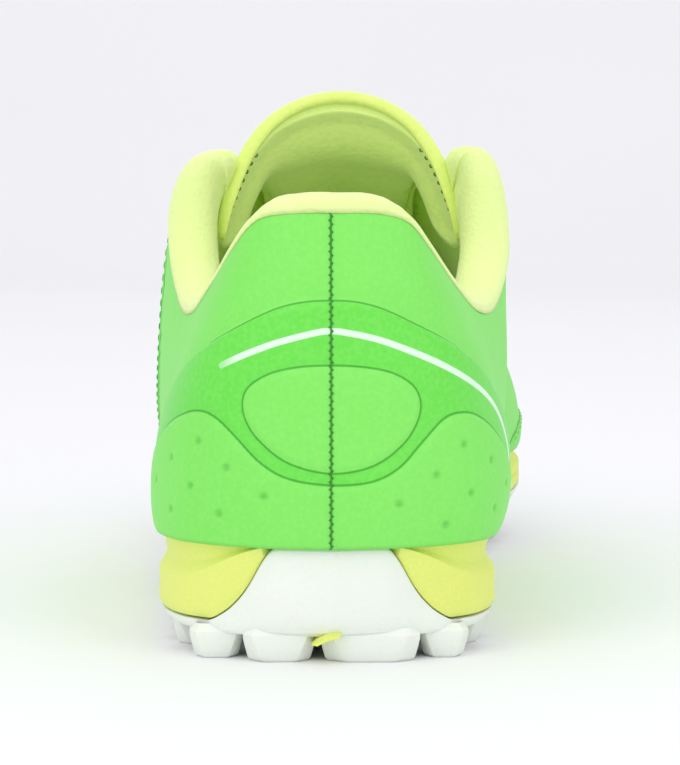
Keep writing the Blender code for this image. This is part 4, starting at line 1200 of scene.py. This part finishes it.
def stay_point(u, w, side, distance):
    """A point off the upper near the throat, shared by both sides where the ridge has closed."""
    point = off_upper(u, w, side, distance)
    if u >= THROAT_END and w > 0.9999:
        point = (point + off_upper(u, w, -side, distance)) / 2
    return point


def eyelet_ring(centre, out, up):
    """A punched hole's rim: a low rounded ring and a dark cup down into it."""
    right = np.cross(out, up)
    right /= np.linalg.norm(right)
    profile = [
        (3.3, -0.05), (3.15, 0.22), (2.8, 0.34), (2.45, 0.26), (2.3, 0.0), (2.2, -0.7), (1.6, -1.1),
        (0.05, -1.15),
    ]
    points, sides = [], 28
    for radius, height in profile:
        for k in range(sides):
            turn = 2 * pi * k / sides
            points.append(centre + (right * cos(turn) + up * sin(turn)) * radius / 1000 + out * height / 1000)
    return points, grid_faces(len(profile), sides, closed_columns=True)


def make_laces(paint):
    """Flat woven bars over the tongue, whose ends turn down into the eyelets."""
    places = sorted({round(u, 6) for u, _, _ in eyelet_places()})
    for k, u in enumerate(places):
        line = lace_line(u)
        points = [p for p, _ in line]
        ups = [n for _, n in line]
        for end in (0, -1):
            side_in = points[1] - points[0] if end == 0 else points[-2] - points[-1]
            side_in = side_in / np.linalg.norm(side_in)
            turned = points[end] - ups[end] * 0.0016 - side_in * 0.0006
            if end == 0:
                points.insert(0, turned)
                ups.insert(0, ups[0])
            else:
                points.append(turned)
                ups.append(ups[-1])
        fine = smooth_open(points, 90)
        rows = [tuple(n) for n in ups]
        normals = np.array([spline(rows, (len(rows) - 1) * j / 89) for j in range(90)])
        loops, along, across = [], [], []
        for j in range(90):
            ahead = fine[min(j + 1, 89)] - fine[max(j - 1, 0)]
            ahead /= np.linalg.norm(ahead)
            wide = np.cross(normals[j], ahead)
            wide /= np.linalg.norm(wide)
            up = np.cross(ahead, wide)
            narrow = 0.72 + 0.28 * ease(min(j, 89 - j), 2, 12)
            for i in range(22):
                turn = 2 * pi * i / 22
                a = np.sign(cos(turn)) * abs(cos(turn)) ** 0.55 * LACE_WIDTH / 2 * narrow
                b = np.sign(sin(turn)) * abs(sin(turn)) ** 0.8 * LACE_THICKNESS / 2
                loops.append(fine[j] + wide * a + up * b)
                along.append(j)
                across.append(a * 1000)
        lengths = walked_along(fine) * 1000
        grid = np.array(loops).reshape(90, 22, 3)
        values = {"along": [lengths[j] for j in along], "across": across}
        piece = face_out(
            grid_piece(f"lace_{k + 1}", grid, paint, closed_columns=True, ends=True, values=values)
        )
        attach(piece, "root")
        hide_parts(f"lace_bar_{k + 1}")


def lace_material():
    """A flat braid: threads that cross slantwise, with painted shade between them."""
    paint = Paint("lace_braid", 0.75, Sheen_Weight=0.3, Specular_IOR_Level=0.3)
    along, across = paint.value("along"), paint.value("across")
    one = paint.math("SINE", paint.times(paint.plus(along, across), 5.2))
    two = paint.math("SINE", paint.times(paint.less(along, across), 5.2))
    braid = paint.times(one, two)
    fibres = paint.noise(2600.0, 2.0)
    # Painted shade where the braid is low, between its threads.
    colour = paint.mix(paint.step(braid, -0.5, 0.4), srgb("b9dc2c"), srgb("dcf546"))
    colour = paint.mix(paint.times(fibres, 0.25), colour, srgb("f0fb9a"))
    height = paint.scaled(fibres, 0.3, braid)
    return paint.finish(colour, 0.8, paint.bump(height, 0.0002, 0.6))


# Sole


def sole_ring(rear=0.05, rest=0.10):
    """Fine places and sides all round the sole: heel, lateral side, toe, medial side."""
    one = [*np.arange(0.0, 4.0, rear), *np.arange(4.0, LAST - 2.0, rest)]
    one += [*np.arange(LAST - 2.0, LAST + 0.001, rear)]
    one[-1] = float(LAST)
    return [(u, LATERAL) for u in one] + [(u, MEDIAL) for u in one[-2:0:-1]]


def lean(u, share):
    back = 0.0012 * (1 - ease(u, 1.5, 3.0))
    toe = 0.0030 * ease(u, 17.5, 20.5)
    return (back + toe) * share


def heel_side(u):
    """Where the sole's rear corners are, between the riser at the heel and the waist."""
    return ease(u, 0.8, 1.6) * (1 - ease(u, 4.0, 6.0))


def tuck(u):
    return BALL_TUCK * ease(u, 8.5, 12.0) * (1 - ease(u, 17.0, 20.0))


def ring_points(ring, rows):
    """A grid over the sole's side: for each row, its inset and its height at every place."""
    edges = np.array([edge(u, side) for u, side in ring])
    outs = np.array([outward(u, side) for u, side in ring])
    grid = []
    for inset, height in rows:
        for_all = []
        for k, (u, _) in enumerate(ring):
            x, y = edges[k] - outs[k] * inset(u)
            for_all.append((x, y, height(u, y)))
        grid.append(for_all)
    return np.array(grid)


def strips(base, count):
    """The corners of each strip across a ring of points: left, left ahead, right ahead, right."""
    for k in range(count // 2):
        quad = [base + k, base + k + 1, base + (count - k - 1) % count, base + (count - k) % count]
        quad = list(dict.fromkeys(quad))
        if len(quad) > 2:
            yield quad


def soften_ring(grid, reach=22, passes=60):
    """Rounds the corner of a sole's grid at the tip of the toe, half way round each row."""
    middle = grid.shape[1] // 2
    near = grid[:, middle - reach : middle + reach + 1]
    for _ in range(passes):
        near[:, 1:-1] = near[:, 1:-1] * 0.5 + (near[:, :-2] + near[:, 2:]) * 0.25
    return grid


def foam_ridge(u):
    """The share of the foam's side below its ridge, which falls from the riser to the side of the heel."""
    return 0.88 - 0.42 * ease(u, 0.9, 3.2) + 0.10 * ease(u, 6.0, 12.0)


def foam_profile(t, u):
    """The foam's inset at t of its side: the rubber's lip is 0, the ridge is 1 and the upper is 2."""
    levels = [0.0, 0.12, 0.9, 1.0, 1.12, 1.35, 1.75, 1.9, 2.0]
    insets = [0.0007, 0.0002, 0.0003, 0.0003, 0.0009, 0.0023, 0.0019, UPPER_INSET - 0.0002, UPPER_INSET]
    inset = np.interp(t, levels, insets)
    # Flex lines carved along the side
    groove = ease(u, 3.4, 4.2) * (1 - ease(u, 17.5, 19.0))
    lines = max(0.0, 1 - abs(t - 0.55) / 0.09)
    return float(inset) + 0.0006 * lines * groove


def make_foam(paint):
    """The foam midsole's side, top and the pod that shows in the heel's window."""
    ring = sole_ring()

    def bottom(u, y):
        return spring(y) + LUG_HEIGHT + PLATE_THICKNESS + GAP

    def lip(u, y):
        return max(wrap(u, y) - HEEL_DROP * heel_side(u), bottom(u, y) + 2 * GAP)

    def cup(u):
        return lean(u, 1.0) + CUP_WALL + 2 * GAP

    def face(t):
        def found(u):
            y = at(u).along
            bare = min(max((bite(y) - wrap(u, y) - 3 * GAP) / (4 * GAP), 0.0), 1.0)
            return cup(u) + (foam_profile(t, u) + lean(u, 1.0) * max(1 - t, 0.0) - cup(u)) * bare

        return found

    def height(t):
        def found(u, y):
            share = t * foam_ridge(u) if t < 1 else foam_ridge(u) + (t - 1) * (1 - foam_ridge(u))
            return lip(u, y) + (bite(y) - lip(u, y)) * share

        return found

    rows = [(lambda u: cup(u) + 2 * EDGE_ROUND, bottom), (lambda u: cup(u), lip)]
    rows += [(face(t), height(t)) for t in np.linspace(0, 2, 27)]
    rows.append((lambda u: UPPER_INSET + UPPER_WALL, lambda u, y: bite(y)))
    grid = soften_ring(ring_points(ring, rows))
    faces = grid_faces(len(rows), len(ring), closed_columns=True)
    count = len(ring)
    for base in (0, (len(rows) - 1) * count):
        faces += [tuple(quad) for quad in strips(base, count)]
    tall = np.repeat(np.arange(len(rows)) / (len(rows) - 1), count)
    points = list(grid.reshape(-1, 3))
    pod = rounded_block(
        (-WINDOW_WIDTH / 2 + GAP, WINDOW_START + GAP, LUG_HEIGHT + 0.0006),
        (WINDOW_WIDTH / 2 - GAP, WINDOW_START + WINDOW_LENGTH - GAP, LUG_HEIGHT + PLATE_THICKNESS + 0.004),
        0.0012,
    )
    points, faces = gather([(points, faces), pod, heel_plug()])
    tall = np.concatenate([tall, np.zeros(len(points) - len(tall))])
    piece = mesh_piece("foam_midsole", points, faces, paint, {"tall": tall}, sharp=0.7)
    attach(piece, "root")
    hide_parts("midsole")


def heel_plug():
    """The sliver of foam that shows at the very back, over the gap between the middle lugs."""
    front = [
        (-0.0040, 0.0042), (-0.0029, 0.0053), (-0.0014, 0.0063), (0.0004, 0.0068), (0.0022, 0.0067),
        (0.0019, 0.0057), (0.0002, 0.0054), (-0.0016, 0.0047), (-0.0030, 0.0040),
    ]
    points = []
    for y, grow in ((0.0010, 0.7), (0.0008, 0.9), (0.0014, 1.0), (0.0100, 1.0)):
        middle = np.mean(front, axis=0)
        for x, z in front:
            a, b = middle + (np.array([x, z]) - middle) * grow
            points.append(np.array([a, y, b]))
    count = len(front)
    faces = grid_faces(4, count, closed_columns=True)
    faces.append(tuple(range(count)))
    faces.append(tuple(range(3 * count, 4 * count))[::-1])
    return points, faces


def rounded_block(low, high, radius):
    """A block with rounded upright edges and a bevelled bottom."""
    outline = []
    for first, (sx, sy) in enumerate(((1, 1), (-1, 1), (-1, -1), (1, -1))):
        cx, cy = (high if sx > 0 else low)[0], (high if sy > 0 else low)[1]
        for k in range(5):
            turn = (first + k / 4) * pi / 2
            outline.append((cx - sx * radius + radius * cos(turn), cy - sy * radius + radius * sin(turn)))
    points = []
    middle = ((low[0] + high[0]) / 2, (low[1] + high[1]) / 2)
    for inset, z in ((0.0007, low[2]), (0.0002, low[2] + 0.0003), (0.0, low[2] + 0.0008), (0.0, high[2])):
        for x, y in outline:
            dx, dy = x - middle[0], y - middle[1]
            length = sqrt(dx * dx + dy * dy)
            points.append(np.array([x - dx / length * inset, y - dy / length * inset, z]))
    count = len(outline)
    faces = grid_faces(4, count, closed_columns=True)
    faces.append(tuple(range(count)))
    faces.append(tuple(range(3 * count, 4 * count))[::-1])
    return points, faces


def foam_material():
    """Moulded foam: matt, finely pebbled, with faint pale flecks."""
    soft = {"Subsurface_Weight": 0.08, "Subsurface_Scale": 0.004}
    paint = Paint("moulded_foam", 0.62, Specular_IOR_Level=0.35, **soft)
    cloud = paint.noise(22.0, 3.0)
    colour = paint.mix(cloud, srgb("e9f184"), srgb("dfeb70"))
    fine = paint.noise(1500.0, 2.0)
    colour = paint.mix(paint.times(paint.step(fine, 0.45, 0.7), 0.22), colour, srgb("f4fb96"))
    pebble = paint.cells(1300.0, "SMOOTH_F1")
    normal = paint.bump(pebble, 0.00010, 0.45)
    normal = paint.bump(paint.noise(70.0, 2.0), 0.0004, 0.3, normal)
    return paint.finish(colour, paint.scaled(fine, 0.12, 0.55), normal)


def rubber_material():
    """White moulded rubber: satin, faintly cloudy, with a fine sparkle of moulding texture."""
    soft = {"Subsurface_Weight": 0.10, "Subsurface_Scale": 0.003}
    paint = Paint("moulded_rubber", 0.45, Specular_IOR_Level=0.45, **soft)
    cloud = paint.noise(18.0, 4.0)
    colour = paint.mix(cloud, srgb("f4f7f0"), srgb("e6ece2"))
    fine = paint.noise(1100.0, 3.0)
    colour = paint.mix(paint.times(paint.step(fine, 0.5, 0.75), 0.12), colour, srgb("d3dacb"))
    # Painted shade: the lower part of each lug is darkened in patches, where shade falls at the lugs' feet.
    low = paint.step(paint.value("low"), 0.35, 0.0)
    lug_shade = paint.times(paint.step(paint.noise(120.0, 4.0), 0.5, 0.72), low)
    colour = paint.mix(paint.times(lug_shade, 0.35), colour, srgb("c9cfbf"))
    normal = paint.bump(fine, 0.00008, 0.4)
    normal = paint.bump(paint.noise(45.0, 2.0), 0.0004, 0.3, normal)
    return paint.finish(colour, paint.scaled(fine, 0.18, 0.36), normal)


# Rows of lugs: place along the shoe, how many stand on each side of the middle, their length along the
# shoe, their width as a share of the room that each has, the free middle as a share of half the sole,
# and how far the outer ones are swept forwards
LugRow = namedtuple("LugRow", "along each_side length width inner sweep")
HEEL_LUG_ROWS = [
    LugRow(0.033, 2, 0.036, 0.95, 0.09, 0.028),
    LugRow(0.108, 2, 0.034, 0.84, 0.24, 0.004),
    LugRow(0.158, 2, 0.034, 0.84, 0.24, 0.000),
    LugRow(0.208, 2, 0.034, 0.84, 0.24, 0.000),
    LugRow(0.258, 2, 0.034, 0.84, 0.24, 0.000),
    LugRow(0.308, 2, 0.034, 0.84, 0.24, 0.000),
]
FRONT_LUG_ROWS = [
    LugRow(0.500, 2, 0.036, 0.80, 0.12, 0.000),
    LugRow(0.556, 3, 0.036, 0.84, 0.07, 0.006),
    LugRow(0.612, 3, 0.036, 0.84, 0.07, -0.006),
    LugRow(0.668, 3, 0.036, 0.84, 0.07, -0.010),
    LugRow(0.724, 3, 0.036, 0.84, 0.07, -0.014),
    LugRow(0.780, 3, 0.036, 0.84, 0.07, -0.018),
    LugRow(0.836, 3, 0.036, 0.84, 0.07, -0.024),
    LugRow(0.892, 2, 0.034, 0.84, 0.10, -0.016),
    LugRow(0.944, 1, 0.032, 0.66, 0.10, 0.000),
]
LUG_EDGE = 0.0046


def width_at(y):
    """The lateral and medial edges of the sole at a distance along it."""
    found = []
    for side in (LATERAL, MEDIAL):
        points = [edge(k / 4, side) for k in range(4 * LAST + 1)]
        found.append(float(np.interp(y, [p[1] for p in points], [p[0] for p in points])))
    return found


def lug_places(rows):
    """The middle, width and length of every lug in some rows."""
    for row in rows:
        y = row.along * LENGTH
        left, right = width_at(y + row.sweep * LENGTH)
        left, right = left + LUG_EDGE, right - LUG_EDGE
        middle, half = (left + right) / 2, (right - left) / 2
        for side in (LATERAL, MEDIAL):
            start = row.inner * half
            room = (half - start) / row.each_side
            for k in range(row.each_side):
                centre = middle + side * (start + room * (k + 0.5))
                swept_on = row.sweep * LENGTH * (k / max(row.each_side - 1, 1)) ** 2
                yield centre, y + swept_on, room * row.width, row.length * LENGTH


# The rear row as the photograph shows it: the two sides of each lug
REAR_LUGS = [(-0.0297, -0.0184), (-0.0184, -0.0032), (-0.0022, 0.0187), (0.0187, 0.0292)]
REAR_LUG_PLACE = 0.0085


def lug_shape(x, y, width, length):
    """One moulded lug: faceted sides, a bevelled foot and a flare where it grows out of the plate."""
    slope = atan2(spring(y + 0.001) - spring(y - 0.001), 0.002)
    turn = Matrix.Translation((x, y, spring(y))) @ Matrix.Rotation(slope if slope > 0.03 else 0.0, 4, "X")
    rows = [
        (0.0, LUG_DRAFT + 0.0005), (0.00025, LUG_DRAFT + 0.00015), (0.0008, LUG_DRAFT * 0.8),
        (LUG_HEIGHT * 0.55, LUG_DRAFT * 0.30), (LUG_HEIGHT * 0.86, 0.0), (LUG_HEIGHT + 0.0002, 0.0),
        (LUG_HEIGHT + 0.0018, 0.0014),
    ]
    points = []
    for z, inset in rows:
        half_x, half_y = width / 2 - inset, length / 2 - inset
        cut_x = half_x * (0.54 + 0.20 * z / LUG_HEIGHT)
        cut_y = half_y * (0.36 + 0.24 * z / LUG_HEIGHT)
        corners = [
            (half_x, cut_y), (cut_x, half_y), (-cut_x, half_y), (-half_x, cut_y),
            (-half_x, -cut_y), (-cut_x, -half_y), (cut_x, -half_y), (half_x, -cut_y),
        ]
        round_it = []
        for k, (a, b) in enumerate(corners):
            c, d = corners[(k + 1) % 8]
            round_it += [(a + (c - a) * s, b + (d - b) * s) for s in (0.05, 0.95)]
        for a, b in round_it:
            points.append(np.array(turn @ Vector((a, b, z))))
    count = 16
    faces = grid_faces(len(rows), count, closed_columns=True)
    faces.append(tuple(range(count)))
    return points, faces


def lugs_to_mould():
    """The middle, width and length of every lug, with the four rear ones as the photograph shows."""
    for low, high in REAR_LUGS:
        middle = (low + high) / 2
        yield middle, REAR_LUG_PLACE + 0.0070 * (abs(middle) / 0.024) ** 2, high - low, 0.0120
    for rows in (HEEL_LUG_ROWS[1:], FRONT_LUG_ROWS):
        for x, y, width, length in lug_places(rows):
            left, right = width_at(y)
            outermost = min(x - width / 2 - left, right - x - width / 2) < 0.0075
            side = 1 if right - x < x - left else -1
            grow = 0.0026 if outermost and rows is not FRONT_LUG_ROWS else 0.0
            yield x + side * grow / 2, y, width + grow, length


def make_rubber(paint):
    """The rubber cup, its riser at the heel and its lugs, as one moulding."""
    ring = sole_ring()

    def bottom(u, y):
        return spring(y) + LUG_HEIGHT

    def floor_height(u, y):
        return bottom(u, y) + PLATE_THICKNESS

    def lip(u, y):
        return max(wrap(u, y) - HEEL_DROP * heel_side(u) - GAP, floor_height(u, y) + GAP)

    def cup(u):
        return lean(u, 1.0) + CUP_WALL

    def side_face(t):
        """Inset and height on the outer side, t from the lip (0) to the bottom's edge (1)."""

        def inset(u):
            heel = heel_side(u)
            top, mid = lean(u, 1.0) + 0.0009 * heel, lean(u, 0.35) + tuck(u) * 0.6 + 0.0013 * heel
            low = EDGE_ROUND * 0.4 + tuck(u) + 0.0010 * heel
            under = EDGE_ROUND * 1.6 + tuck(u) - 0.0009 * heel
            last = low + EDGE_ROUND * (0.5 - 0.3 * heel)
            return float(np.interp(t, [0, 0.5, 0.80, 0.92, 1.0], [top, mid, low, last, under]))

        def height(u, y):
            high, low = lip(u, y), bottom(u, y)
            share = float(np.interp(t, [0, 0.5, 0.80, 0.92, 1.0], [1.0, 0.5, 0.16, 0.05, 0.0]))
            return low + (high - low) * share

        return inset, height

    rows = [
        (lambda u: cup(u) + 2 * EDGE_ROUND, floor_height),
        (lambda u: cup(u), lip),
        (lambda u: lean(u, 1.0) + 0.0004 + 0.0009 * heel_side(u), lip),
    ]
    levels = (0.03, 0.10, 0.20, 0.30, 0.40, 0.5, 0.60, 0.70, 0.80, 0.86, 0.92, 0.96, 1.0)
    rows += [side_face(t) for t in levels]
    grid = soften_ring(ring_points(ring, rows))
    count = len(ring)
    faces = grid_faces(len(rows), count, closed_columns=True)
    window = (WINDOW_WIDTH / 2, WINDOW_START, WINDOW_START + WINDOW_LENGTH)
    points = list(grid.reshape(-1, 3))
    # The bottom and the inside floor are filled in strips across, with the window left open
    for base in (0, (len(rows) - 1) * count):
        for quad in strips(base, count):
            y = [points[q][1] for q in quad]
            if min(y) > window[1] - 0.0005 and max(y) < window[2] + 0.0005 and len(quad) == 4:
                left_a, left_b, right_b, right_a = quad
                extra = []
                for q, sign in ((left_a, -1), (left_b, -1), (right_b, 1), (right_a, 1)):
                    p = points[q].copy()
                    p[0] = sign * window[0]
                    extra.append(len(points))
                    points.append(p)
                faces.append((left_a, left_b, extra[1], extra[0]))
                faces.append((extra[3], extra[2], right_b, right_a))
            else:
                faces.append(tuple(quad))
    bits = [(points, faces)]
    bits += [lug_shape(*lug) for lug in lugs_to_mould()]
    bits += window_frame(window)
    points, faces = gather(bits)
    low = np.array([p[2] - spring(p[1]) for p in points]) / LUG_HEIGHT
    piece = mesh_piece("rubber_outsole", points, faces, paint, {"low": low}, sharp=0.5)
    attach(piece, "root")
    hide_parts("outsole", "heel_lugs", "forefoot_lugs")


def window_frame(window):
    """The raised rubber rim round the heel's window."""
    half, first, last = window
    bits = []
    rim = [(-half, first), (half, first), (half, last), (-half, last)]
    for k in range(4):
        a, b = np.array(rim[k]), np.array(rim[(k + 1) % 4])
        line = [np.array([*(a + (b - a) * s), LUG_HEIGHT + 0.0002]) for s in np.linspace(0, 1, 14)]
        bits.append(tube(line, 0.0008, 8))
    return bits


# Stitches and seams


def back_seam(skin, out, thread, dark):
    """The closed seam down the back of the heel: a thin dark bead painted as the shade in its groove, and one
    zigzag row of thread.
    """
    middle = len(skin) // 2
    walked = walked_along(skin[middle])
    places = np.linspace(0, walked[-1], max(int(walked[-1] / 0.0004), 2))
    p, n = sampled(places, walked, skin[middle]), unit(sampled(places, walked, out[middle]))
    sideways = np.array([1.0, 0.0, 0.0])
    zigzag = []
    for k in range(0, len(p), 2):
        offset = (-1 if k % 4 == 0 else 1) * 0.00042
        zigzag.append(p[k] + sideways * offset + n[k] * 0.00012)
    points, faces = tube(np.array(zigzag), 0.00016, 6, sideways)
    sewn = mesh_piece("back_seam_thread", points, faces, thread)
    # Painted shade: a dark bead along the seam stands in for the shade inside its groove.
    bead = p + n * 0.00002
    points, faces = tube(bead, 0.00022, 8, sideways)
    seam = mesh_piece("back_seam_shade", points, faces, dark)
    for piece in (sewn, seam):
        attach(piece, "root")


# Camera, floor and light


# The photograph's own measures, in its pixels: its focal length, the point that its camera looks straight
# at (the seam's place across, the eye's height up), where the new picture is centred, and its enlargement
FOCAL = 1462.5
SEAM_ACROSS, EYE_LEVEL = 227.9, 366.6
CENTRE_ACROSS, CENTRE_DOWN = 232, 486
ENLARGED, PICTURE_HEIGHT = 2.165, 765
EYE_DISTANCE, EYE_HEIGHT = 0.650, 0.1122


def make_camera():
    """A long lens behind the heel, at the height and the slight turn that the photograph has."""
    yaw = radians(0.8)
    forward = Vector((sin(yaw), cos(yaw), 0))
    right = Vector((cos(yaw), -sin(yaw), 0))
    look = forward + right * (CENTRE_ACROSS - SEAM_ACROSS) / FOCAL
    look -= Vector((0, 0, 1)) * (CENTRE_DOWN - EYE_LEVEL) / FOCAL
    lens = bpy.data.cameras.new("camera")
    lens.sensor_fit = "VERTICAL"
    lens.sensor_height = 36
    lens.lens = FOCAL * ENLARGED * lens.sensor_height / PICTURE_HEIGHT
    lens.clip_start = 0.05
    camera = bpy.data.objects.new("camera", lens)
    bpy.context.scene.collection.objects.link(camera)
    camera.location = Vector((SHIFT[0], SHIFT[1], EYE_HEIGHT)) - forward * EYE_DISTANCE
    camera.rotation_euler = look.to_track_quat("-Z", "Y").to_euler()
    bpy.context.scene.camera = camera


def make_floor():
    """A pale floor that curves up into the backdrop."""
    paint = Paint("studio_paper", 0.9, Specular_IOR_Level=0.15)
    tone = paint.mix(paint.noise(3.0, 2.0), srgb("f1f1f3"), srgb("f5f5f7"))
    floor_paint = paint.finish(tone, None, paint.bump(paint.noise(600.0, 2.0), 0.0001, 0.1))
    profile = [(-3.0, 0.0), (-1.0, 0.0), (0.0, 0.0), (1.4, 0.0)]
    profile += [(1.4 + 0.8 * sin(a), 0.8 - 0.8 * cos(a)) for a in np.linspace(0.1, pi / 2, 14)]
    profile.append((2.2, 3.5))
    points = [(x, y, z) for x in (-4.0, 4.0) for y, z in profile]
    count = len(profile)
    faces = [(k, k + 1, count + k + 1, count + k) for k in range(count - 1)]
    data = bpy.data.meshes.new("floor")
    data.from_pydata(points, [], faces)
    data.materials.append(floor_paint)
    data.shade_smooth()
    floor = bpy.data.objects.new("floor", data)
    bpy.context.scene.collection.objects.link(floor)


def area_light(name, place, aim, size, power):
    data = bpy.data.lights.new(name, "AREA")
    data.shape = "RECTANGLE"
    data.size, data.size_y = size
    data.energy = power
    light = bpy.data.objects.new(name, data)
    light.location = place
    light.rotation_euler = (Vector(aim) - Vector(place)).to_track_quat("-Z", "Y").to_euler()
    bpy.context.scene.collection.objects.link(light)


def make_light():
    world = bpy.data.worlds.new("studio")
    world.use_nodes = True
    world.node_tree.nodes["Background"].inputs["Color"].default_value = (0.97, 0.97, 0.99, 1.0)
    world.node_tree.nodes["Background"].inputs["Strength"].default_value = 0.80
    bpy.context.scene.world = world
    aim = (0, -0.10, 0.05)
    area_light("overhead", (0.0, -0.05, 1.3), aim, (1.8, 1.8), 6)
    area_light("front_left", (-0.8, -1.2, 0.9), aim, (0.9, 0.9), 4.5)
    area_light("front_right", (0.9, -1.1, 0.7), aim, (0.9, 0.9), 2.5)
    area_light("backdrop", (0.0, 0.9, 1.3), (0, 2.2, 0.5), (2.4, 0.6), 3.0)
    bpy.context.scene.view_settings.view_transform = "Standard"


def main():
    """The whole dressed shoe, in its studio."""
    make_camera()
    make_floor()
    make_light()
    yellow_thread = thread_material("yellow_thread", "d9f25a")
    base, out, skin = make_upper_skin()
    back_seam(skin, out, thread_material("green_thread", "2f9a1c"), thread_material("seam_shadow", "3aa524"))
    bits = []
    for side in (LATERAL, MEDIAL):
        bits += sewn_line(TOE_CAP_LINE, 0.0013, side)
        bits += sewn_line(SADDLE_BACK_LINE, 0.0013, side)
        bits += sewn_line(SADDLE_FRONT_LINE, -0.0013, side)
    points, faces = gather(bits)
    sewn = mesh_piece("upper_stitches", points, faces, thread_material("bright_thread", "46b52f"))
    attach(sewn, "root")
    make_pad(knit_material("lime_knit", "eefcb0", "e3f699"))
    make_lining(base, out, knit_material("lining_knit", "ddf88a", "cdf06e"))
    make_tongue(tongue_material())
    stay = stay_material()
    rings = make_eyestay(stay, yellow_thread)
    points, faces = gather(rings)
    rims = mesh_piece("eyelet_rims", points, faces, rim_material(), merge=0.0)
    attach(rims, "root")
    make_laces(lace_material())
    make_foam(foam_material())
    make_rubber(rubber_material())
    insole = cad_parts["insole"]
    cloth = knit_material("insole_cloth", "d9f07a", "c4e45c", 0.8, 0.2)
    for slot in insole.material_slots:
        slot.material = cloth


def stay_material():
    """The eyestay's smooth coated cloth: satin yellow with a fine grain."""
    paint = Paint("yellow_skin", 0.42, Coat_Weight=0.12, Coat_Roughness=0.3, Specular_IOR_Level=0.45)
    fine = paint.noise(1000.0, 2.0)
    colour = paint.mix(paint.noise(30.0), srgb("d9f23a"), srgb("cfec2e"))
    colour = paint.mix(paint.times(paint.step(fine, 0.42, 0.62), 0.18), colour, srgb("eefb84"))
    normal = paint.bump(paint.cells(900.0, "SMOOTH_F1"), 0.00012, 0.5)
    return paint.finish(colour, paint.scaled(fine, 0.12, 0.38), normal)


def rim_material():
    paint = Paint("eyelet_rim", 0.5, Specular_IOR_Level=0.4)
    colour = paint.mix(paint.noise(900.0), srgb("bfe02c"), srgb("a9cf22"))
    return paint.finish(colour, None, paint.bump(paint.noise(1200.0), 0.0001, 0.3))


main()
